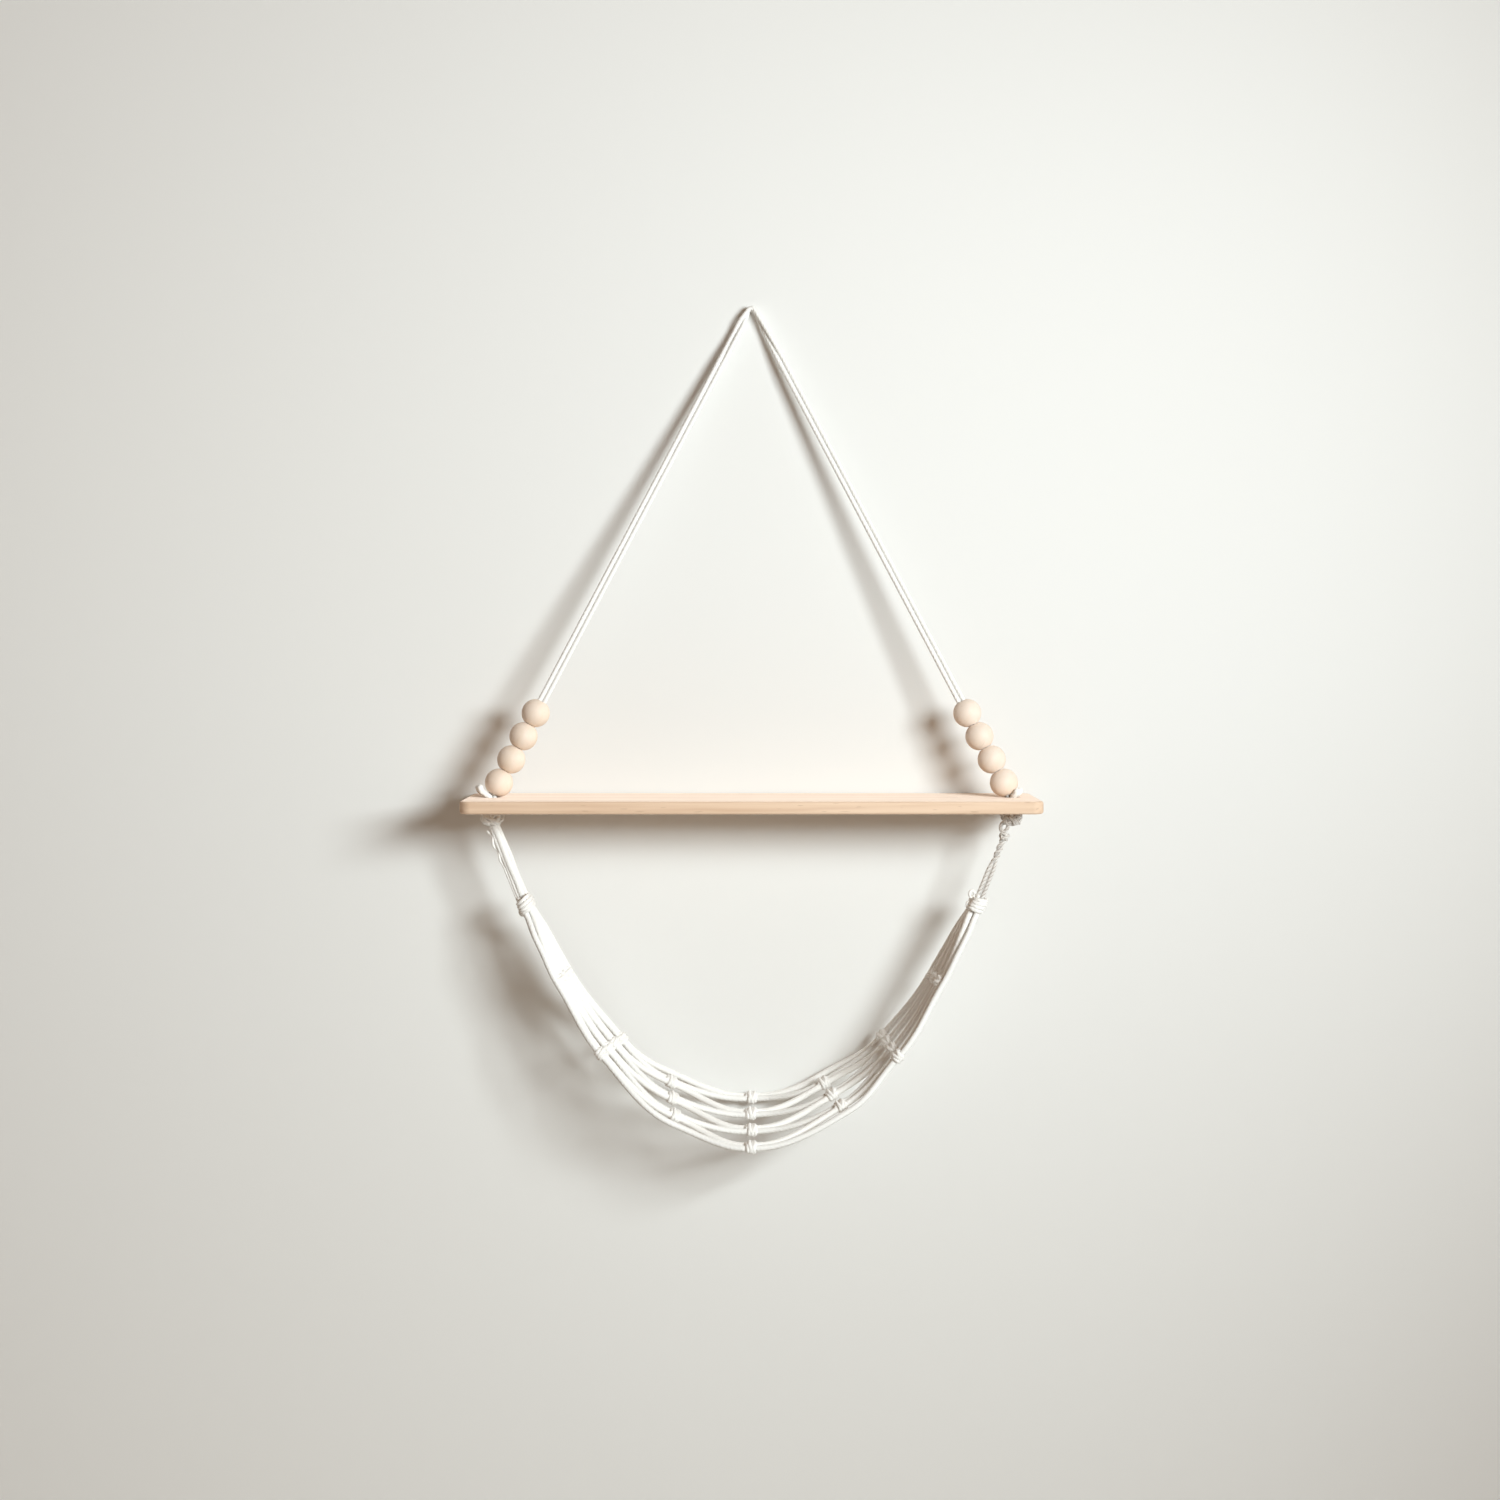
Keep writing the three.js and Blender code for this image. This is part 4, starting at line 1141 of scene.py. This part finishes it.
class SHELF_OT_beads(Operator):
    """Models a bead and sets copies of it on both legs"""

    bl_idname = "shelf.beads"
    bl_label = "Beads"

    finish = {"roughness": 0.62, "turn": (0, 1.1, 0.3), "streaks": 0.7, "flecks": 0.6, "sheen": 0}
    # How far each bead is rolled from the one under it, in radians
    roll = 1.7

    def execute(self, context):
        lay, colours = Layout(context.scene), context.scene.shelf_finishes
        pattern = model_bead(lay)
        pattern.data.materials.append(
            wood_material("Bead beech", colours.bead, colours.bead_dark, **self.finish)
        )
        pitch = 2 * lay.bead_half + lay.rope.gap
        for side_name, side in SIDES:
            leg = leg_line(lay, side)
            lowest = (lay.bead.diameter / 2 + lay.rope.gap) / leg.up.z
            for count in range(lay.bead.per_leg):
                obj = pattern.copy()
                obj.data = pattern.data.copy()
                obj.name = f"Bead_{side_name}_{count + 1}"
                context.scene.collection.objects.link(obj)
                turn = leg.up.to_track_quat("Z", "Y").to_matrix().to_4x4()
                roll = Matrix.Rotation(self.roll * count + side, 4, "Z")
                place = Matrix.Translation(leg.foot + leg.up * (lowest + count * pitch))
                obj.data.transform(place @ turn @ roll)
                node = f"bead_{side_name}_{count + 1}"
                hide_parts(node)
                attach(obj, node)
        bpy.data.objects.remove(pattern)
        return {"FINISHED"}


class SHELF_OT_stopper_knots(Operator):
    """Ties the stopper knots under the board, with their loops"""

    bl_idname = "shelf.stopper_knots"
    bl_label = "Stopper knots"

    # Each front bight's place across and its tilt
    bights = {
        "left": ((-0.0034, -0.4), (0.0034, 0.4)),
        "right": ((-0.0042, -0.12), (0.0036, 0.16)),
    }
    # A bight's place to the front and up, its half width and height, and its lean
    bight_front, bight_up = -0.0036, 0.0004
    bight_wide, bight_high, bight_lean = 0.0021, 0.0043, 0.0007
    # How thin the bights are, and how tall the loops are for their width
    bight_share, loop_tall = 0.9, 1.5
    # Each loop's place in shares of the knot's half width: across, back and up
    loops = {
        "left": ((-0.78, 0.22, 0.12), (0.95, 0.1, 0.2)),
        "right": ((0.8, 0.24, 0.2), (-0.78, 0.12, 0.36)),
    }
    # The collar's radius and half height, and how far the turns of barrel and collar swell
    collar_radius, collar_half, barrel_swell, collar_swell = 0.0048, 0.0008, 0.0009, 0.0003

    def execute(self, context):
        lay = Layout(context.scene)
        knots = lay.knots
        for side_name, side in SIDES:
            # The right knot gets the cotton with dark painted shade in its creases, and the left
            # one gets the rope's
            material = cotton_material("Shaded knot cotton" if side > 0 else "Rope cotton")
            tubes = self.turns(lay, lay.stopper(side), self.bights[side_name])
            for shares in self.loops[side_name]:
                centre = lay.stopper(side) + Vector(shares) * knots.stopper_half_width
                tubes.append(spare_loop(lay, centre, self.loop_tall))
            obj = cord_piece(f"Stopper_knot_{side_name}", tubes, material)
            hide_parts(f"stopper_knot_{side_name}")
            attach(obj, "shelf")
        return {"FINISHED"}

    def turns(self, lay, centre, bights):
        """The barrel of the knot, its collar under the board and its front bights."""
        knots, thick = lay.knots, lay.rope.diameter / 2
        belly = SimpleNamespace(centre=centre, across=Y_AXIS, up=Z_AXIS, along=X_AXIS)
        high, long = knots.stopper_radius - thick, knots.stopper_half_width - thick
        barrel = winding(belly, high, high, long, 3, 4, self.barrel_swell)
        under = Vector((centre.x, centre.y, lay.bottom_z - thick - lay.rope.gap))
        collar = SimpleNamespace(centre=under, across=X_AXIS, up=Y_AXIS, along=Z_AXIS)
        radius = self.collar_radius
        ring = winding(collar, radius, radius, self.collar_half, 1, 2, self.collar_swell)
        tubes = [closed_tube(points, KNOT_STEP, thick, lay) for points in (barrel, ring)]
        for across, tilt in bights:
            turn = Matrix.Rotation(tilt, 3, "Y")
            bight = ring_loop(
                centre + Vector((across, self.bight_front, self.bight_up)),
                turn @ X_AXIS, turn @ Z_AXIS, self.bight_wide, self.bight_high,
                Y_AXIS * self.bight_lean,
            )
            tubes.append(closed_tube(bight, KNOT_STEP, thick * self.bight_share, lay))
        return tubes


class SHELF_OT_left_sinnet(Operator):
    """Lays the flat sinnet's strands between the left knots"""

    bl_idname = "shelf.left_sinnet"
    bl_label = "Left sinnet"

    # Each band strand's place across and in depth, in cord radii, and its share of the diameter
    strands = (
        (-1.25, -0.2, 1), (0, -0.3, 1.45), (1.25, -0.2, 1), (-0.65, 0.95, 0.9), (0.65, 0.95, 0.9),
    )
    # Where the band and the thin strand start, and how much shorter they are than the line
    band_start, band_short, thin_start, thin_short = 0.0044, 0.0064, 0.008, 0.012
    # Points on the route of a band strand and of the thin one
    band_points, thin_points = 26, 60
    # How far and how often the band's strands waver, and their width at the top
    band_wave, band_waver, band_top = 0.00022, 12, 0.8
    # The thin strand: turns, share of its way that is loose, and reach outward, sideways, deep
    thin_turns, thin_loose, thin_out, thin_aside, thin_deep = 4.6, 0.62, 0.0009, 0.0012, 0.0014
    # Its place to the front and along the band's edge, and how fast it comes to rest
    thin_front, thin_edge, thin_rest = -0.0008, (1.1, 0.1), 0.7

    def execute(self, context):
        lay = Layout(context.scene)
        line = sinnet_line(lay, -1)
        band, thin = lay.knots.band_cord, lay.knots.thin_cord
        for index, (across, depth, share) in enumerate(self.strands):
            route = self.band_route(line, band / 2, index, across, depth)
            self.add_strand(lay, index + 1, route, band * share)
        self.add_strand(lay, len(self.strands) + 1, self.thin_route(line, band, thin), thin)
        return {"FINISHED"}

    def band_route(self, line, radius, index, across, depth):
        points = []
        for share in np.linspace(0, 1, self.band_points):
            full = min(1.0, self.band_top + 2 * share)
            wave = self.band_wave * math.sin(self.band_waver * share + 2 * index)
            x, y = across * radius * full + wave, depth * radius * full
            along = self.band_start + (line.length - self.band_short) * share
            points.append(in_frame(line, x, y, along))
        return points

    def thin_route(self, line, band, thin):
        """A thin strand that twists loosely down the band's outer edge, then lies along it."""
        edge = self.thin_edge[0] * band + self.thin_edge[1] * thin
        points = []
        for share in np.linspace(0, 1, self.thin_points):
            loose = max(0.0, 1 - share / self.thin_loose) ** self.thin_rest
            angle = 2 * math.pi * share * self.thin_turns
            x = edge + loose * (self.thin_out + self.thin_aside * math.cos(angle))
            y = self.thin_front + loose * self.thin_deep * math.sin(angle)
            along = self.thin_start + (line.length - self.thin_short) * share
            points.append(in_frame(line, x, y, along))
        return points

    def add_strand(self, lay, number, points, diameter):
        path = smooth_path(points, STRAND_STEP)
        radii = rounded_ends(path, diameter / 2, both=False)
        body = tube(path, radii, lay, groove=SOFT_GROOVE)
        obj = cord_piece(f"Sinnet_strand_left_{number}", [body], cotton_material("Net cotton"))
        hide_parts("sinnet_left")
        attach(obj, "net")


class SHELF_OT_right_sinnet(Operator):
    """Lays the right loop, its crossing knot and the twisted pair"""

    bl_idname = "shelf.right_sinnet"
    bl_label = "Right sinnet"

    # The twisted part's share of the full thickness, and how far it takes to reach the full one
    tight, ease = 0.74, 0.006
    # Where the strands swell to full thickness, in twisted lengths
    swelling = (1.4, 1.7)
    # The loop's place across, down and to the front, its half width, height, lean and cord
    loop_across, loop_down, loop_front = 0.0036, 0.0007, 0.002
    loop_wide, loop_high, loop_lean, loop_cord = 0.003, 0.0044, 0.001, 0.0016
    # The crossing knot's radius, half length, swell and cord
    knot_radius, knot_half, knot_swell, knot_cord = 0.0028, 0.0022, 0.0008, 0.0014
    # The pair's start above the crossing knot, and how much it is short of the gathering knot
    pair_start, pair_short = 0.003, 0.002
    # How close the strands start, the length over which that eases, and a route's points
    pair_close, pair_open, pair_points = 0.5, 0.008, 70

    def execute(self, context):
        lay = Layout(context.scene)
        knots, line = lay.knots, sinnet_line(lay, 1)
        radius = knots.sinnet_cord / 2
        # Dark painted shade in the creases of the loop, the crossing knot and the twisted pair
        material = cotton_material("Shaded knot cotton")
        for index in range(2):
            path = smooth_path(self.route(lay, line, index * math.pi), KNOT_STEP)
            wound = np.linspace(0, 1, len(path)) * line.length / knots.twist_length
            radii = radius * np.interp(wound, self.swelling, (self.tight, 1))
            obj = cord_piece(f"Sinnet_strand_right_{index + 1}", [tube(path, radii, lay)], material)
            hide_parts("sinnet_right")
            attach(obj, "net")
        down = knots.stopper_radius + knots.top_loop - radius + self.loop_down
        centre = in_frame(line, self.loop_across, -self.loop_front, down)
        lean = Y_AXIS * self.loop_lean
        loop = ring_loop(centre, line.across, line.along, self.loop_wide, self.loop_high, lean)
        crossing = SimpleNamespace(
            centre=line.centre + line.along * knots.crossing_drop,
            across=line.across, up=Y_AXIS, along=line.along,
        )
        wide = self.knot_radius
        knot = winding(crossing, wide, wide, self.knot_half, 2, 3, self.knot_swell)
        tubes = [
            closed_tube(points, LOOP_STEP, cord, lay, sides=12)
            for points, cord in ((loop, self.loop_cord), (knot, self.knot_cord))
        ]
        obj = cord_piece("Sinnet_knot_right", tubes, material)
        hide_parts("sinnet_right")
        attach(obj, "net")
        return {"FINISHED"}

    def route(self, lay, line, phase):
        knots = lay.knots
        start = knots.crossing_drop - self.pair_start
        full = (knots.sinnet_cord + 2 * lay.rope.gap) / 2
        points = []
        for share in np.linspace(0, 1, self.pair_points):
            run = (line.length - self.pair_short - start) * share
            wound = min(run, knots.twist_length)
            eased = knots.twist_length + self.ease
            apart = full * np.interp(run, (wound, eased), (self.tight, 1))
            angle = phase + 2 * math.pi * wound / knots.twist_pitch
            apart *= min(1.0, self.pair_close + run / self.pair_open)
            x, y = apart * math.cos(angle), apart * math.sin(angle)
            points.append(in_frame(line, x, y, start + run))
        return points


class SHELF_OT_gather_knots(Operator):
    """Wraps the gathering knots round the net's cords"""

    bl_idname = "shelf.gather_knots"
    bl_label = "Gathering knots"

    # Each loop's place: along in knot lengths, then to the front and up in wraps
    loops = {
        "left": ((-0.35, -0.62, 0.36),),
        "right": ((0.3, -0.6, 0.6), (-0.3, -0.62, 0.42)),
    }
    # The coil: radius of its cord, turns, slant, how far it sinks in and its air to the ends
    cord, turns, slant, sink, margin = 0.0019, 4.4, 0.0011, 0.0004, 0.0018
    # Its groove, the room it takes round the cords, and how tall its loops are for their width
    groove, room, loop_tall = 0.8, 0.0012, 1.3
    coil_points = 180
    # Its width along the knot, as places and shares
    taper = ((0, 0.3, 0.6, 0.85, 1), (0.97, 1, 0.96, 0.84, 0.66))
    # How flat its sides are, and how its ends tuck in: the share they keep and how fast they grow
    flatness, tuck_share, tuck_growth = 1.5, 0.8, 5

    def execute(self, context):
        lay = Layout(context.scene)
        material = cotton_material("Net cotton")
        for side_name, side in SIDES:
            place = gather_frame(lay, side)
            path = smooth_path(self.coil(lay, place), STRAND_STEP)
            tubes = [tube(path, self.cord, lay, groove=self.groove)]
            wrap = lay.net.cord + lay.rope.gap + self.room
            for along, front, up in self.loops[side_name]:
                centre = in_frame(place, front * wrap, up * 2 * wrap, along * lay.net.gather_length)
                tubes.append(spare_loop(lay, centre, self.loop_tall))
            obj = cord_piece(f"Gathering_knot_{side_name}", tubes, material)
            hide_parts(f"gather_knot_{side_name}")
            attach(obj, "net")
        return {"FINISHED"}

    def coil(self, lay, place):
        """Close turns round the cords, narrower towards the sinnet, with tucked ends."""
        half_run = ((lay.net.cords - 1) / 2 - 1) * lay.net_pair
        radius = math.hypot(lay.net_pair, lay.gather_lift) + lay.net.cord / 2 - self.sink
        half = lay.net.gather_length / 2 - self.margin
        points = []
        for share in np.linspace(0, 1, self.coil_points):
            angle = 2 * math.pi * self.turns * share
            tuck = min(1.0, self.tuck_share + self.tuck_growth * min(share, 1 - share))
            narrow = tuck * np.interp(share, *self.taper)
            side = max(-1.0, min(1.0, self.flatness * math.cos(angle)))
            across = narrow * (half_run * side + radius * math.cos(angle))
            along = half * (2 * share - 1) + self.slant * math.cos(angle + 2 * share)
            points.append(in_frame(place, across, narrow * radius * math.sin(angle), along))
        return points


class SHELF_OT_net_knots(Operator):
    """Ties each net knot at its crossing"""

    bl_idname = "shelf.net_knots"
    bl_label = "Net knots"

    # The knots' cord, its turns, its room round the net's cords and its air to the knot's ends
    cord, turns, room, margin = 0.00165, 3.2, 0.0006, 0.0004
    # How much narrower the knots of the outer, short rows are, and what a short row is
    narrower, short_row = 0.0009, 0.03
    # Each ring over the turns: its tilt, in half lengths, and its lift
    rings = ((0.7, 0.0003), (-0.45, 0.0008))
    # The cord's groove, its points, the angle it starts at, and how its ends tuck in
    groove, cord_points, start, tuck_share, tuck_growth = 0.5, 80, 0.8, 0.7, 2.4

    def execute(self, context):
        lay = Layout(context.scene)
        material = cotton_material("Net cotton")
        for row in net_rows(lay):
            places = cord_places(lay, row)
            first = 0 if row.knots == lay.net.cords // 2 else 1
            for knot in range(row.knots):
                pair = places[first + 2 * knot : first + 2 * knot + 2]
                name = f"{row.name}_{knot + 1}"
                tubes = self.tie(lay, row, sum(pair) / 2, knot)
                obj = cord_piece(f"Net_knot_{name}", tubes, material)
                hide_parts(f"net_knot_{name}")
                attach(obj, "net")
        return {"FINISHED"}

    def tie(self, lay, row, middle, count):
        """Turns round a pair of cords, with two tilted rings over them."""
        place = SimpleNamespace(
            centre=row.middle + row.across * middle, across=row.across, up=row.up, along=row.along
        )
        mirror = 1 if count % 2 else -1
        radius = lay.net.cord / 2 + self.room
        half = lay.net.knot_length / 2 - self.margin
        wide = lay.net_pair + radius - (self.narrower if row.half < self.short_row else 0)
        turns = []
        for share in np.linspace(0, 1, self.cord_points):
            angle = 2 * math.pi * self.turns * share + self.start
            tuck = min(1.0, self.tuck_share + self.tuck_growth * min(share, 1 - share))
            x, y = mirror * tuck * wide * math.cos(angle), tuck * radius * math.sin(angle)
            turns.append(in_frame(place, x, y, half * (2 * share - 1)))
        path = smooth_path(turns, KNOT_STEP)
        tubes = [tube(path, self.cord, lay, sides=12, groove=self.groove)]
        for tilt, lift in self.rings:
            ring = winding(place, mirror * wide, radius + lift, half * tilt, 1, 1, 0)
            tubes.append(closed_tube(ring, KNOT_STEP, self.cord, lay, sides=12, groove=self.groove))
        return tubes


class SHELF_PT_pieces(Panel):
    """Lists the shelf's pieces"""

    bl_idname = "SHELF_PT_pieces"
    bl_label = "Rope Shelf"
    bl_space_type = "VIEW_3D"
    bl_region_type = "UI"
    bl_category = "Rope Shelf"

    def draw(self, context):
        for operator in OPERATORS:
            self.layout.operator(operator.bl_idname)
        for name, _ in GROUPS:
            settings = getattr(context.scene, name)
            box = self.layout.box()
            for key in settings.__annotations__:
                box.prop(settings, key)


GROUPS = (
    ("shelf_board", BoardSizes),
    ("shelf_rope", RopeSizes),
    ("shelf_bead", BeadSizes),
    ("shelf_knots", KnotSizes),
    ("shelf_net", NetSizes),
    ("shelf_finishes", Finishes),
    ("shelf_stage", StageSizes),
)
OPERATORS = (
    SHELF_OT_stage,
    SHELF_OT_ropes,
    SHELF_OT_net_cords,
    SHELF_OT_cord_ends,
    SHELF_OT_board,
    SHELF_OT_beads,
    SHELF_OT_stopper_knots,
    SHELF_OT_left_sinnet,
    SHELF_OT_right_sinnet,
    SHELF_OT_gather_knots,
    SHELF_OT_net_knots,
)


def register():
    for name, group in GROUPS:
        bpy.utils.register_class(group)
        setattr(bpy.types.Scene, name, PointerProperty(type=group))
    for kind in (*OPERATORS, SHELF_PT_pieces):
        bpy.utils.register_class(kind)


def unregister():
    for kind in reversed((*OPERATORS, SHELF_PT_pieces)):
        bpy.utils.unregister_class(kind)
    for name, group in reversed(GROUPS):
        delattr(bpy.types.Scene, name)
        bpy.utils.unregister_class(group)


def main():
    register()
    bpy.ops.shelf.stage()
    bpy.ops.shelf.ropes()
    bpy.ops.shelf.net_cords()
    bpy.ops.shelf.cord_ends()
    bpy.ops.shelf.board()
    bpy.ops.shelf.beads()
    bpy.ops.shelf.stopper_knots()
    bpy.ops.shelf.left_sinnet()
    bpy.ops.shelf.right_sinnet()
    bpy.ops.shelf.gather_knots()
    bpy.ops.shelf.net_knots()
    bpy.context.view_layer.update()


if __name__ == "__main__":
    main()
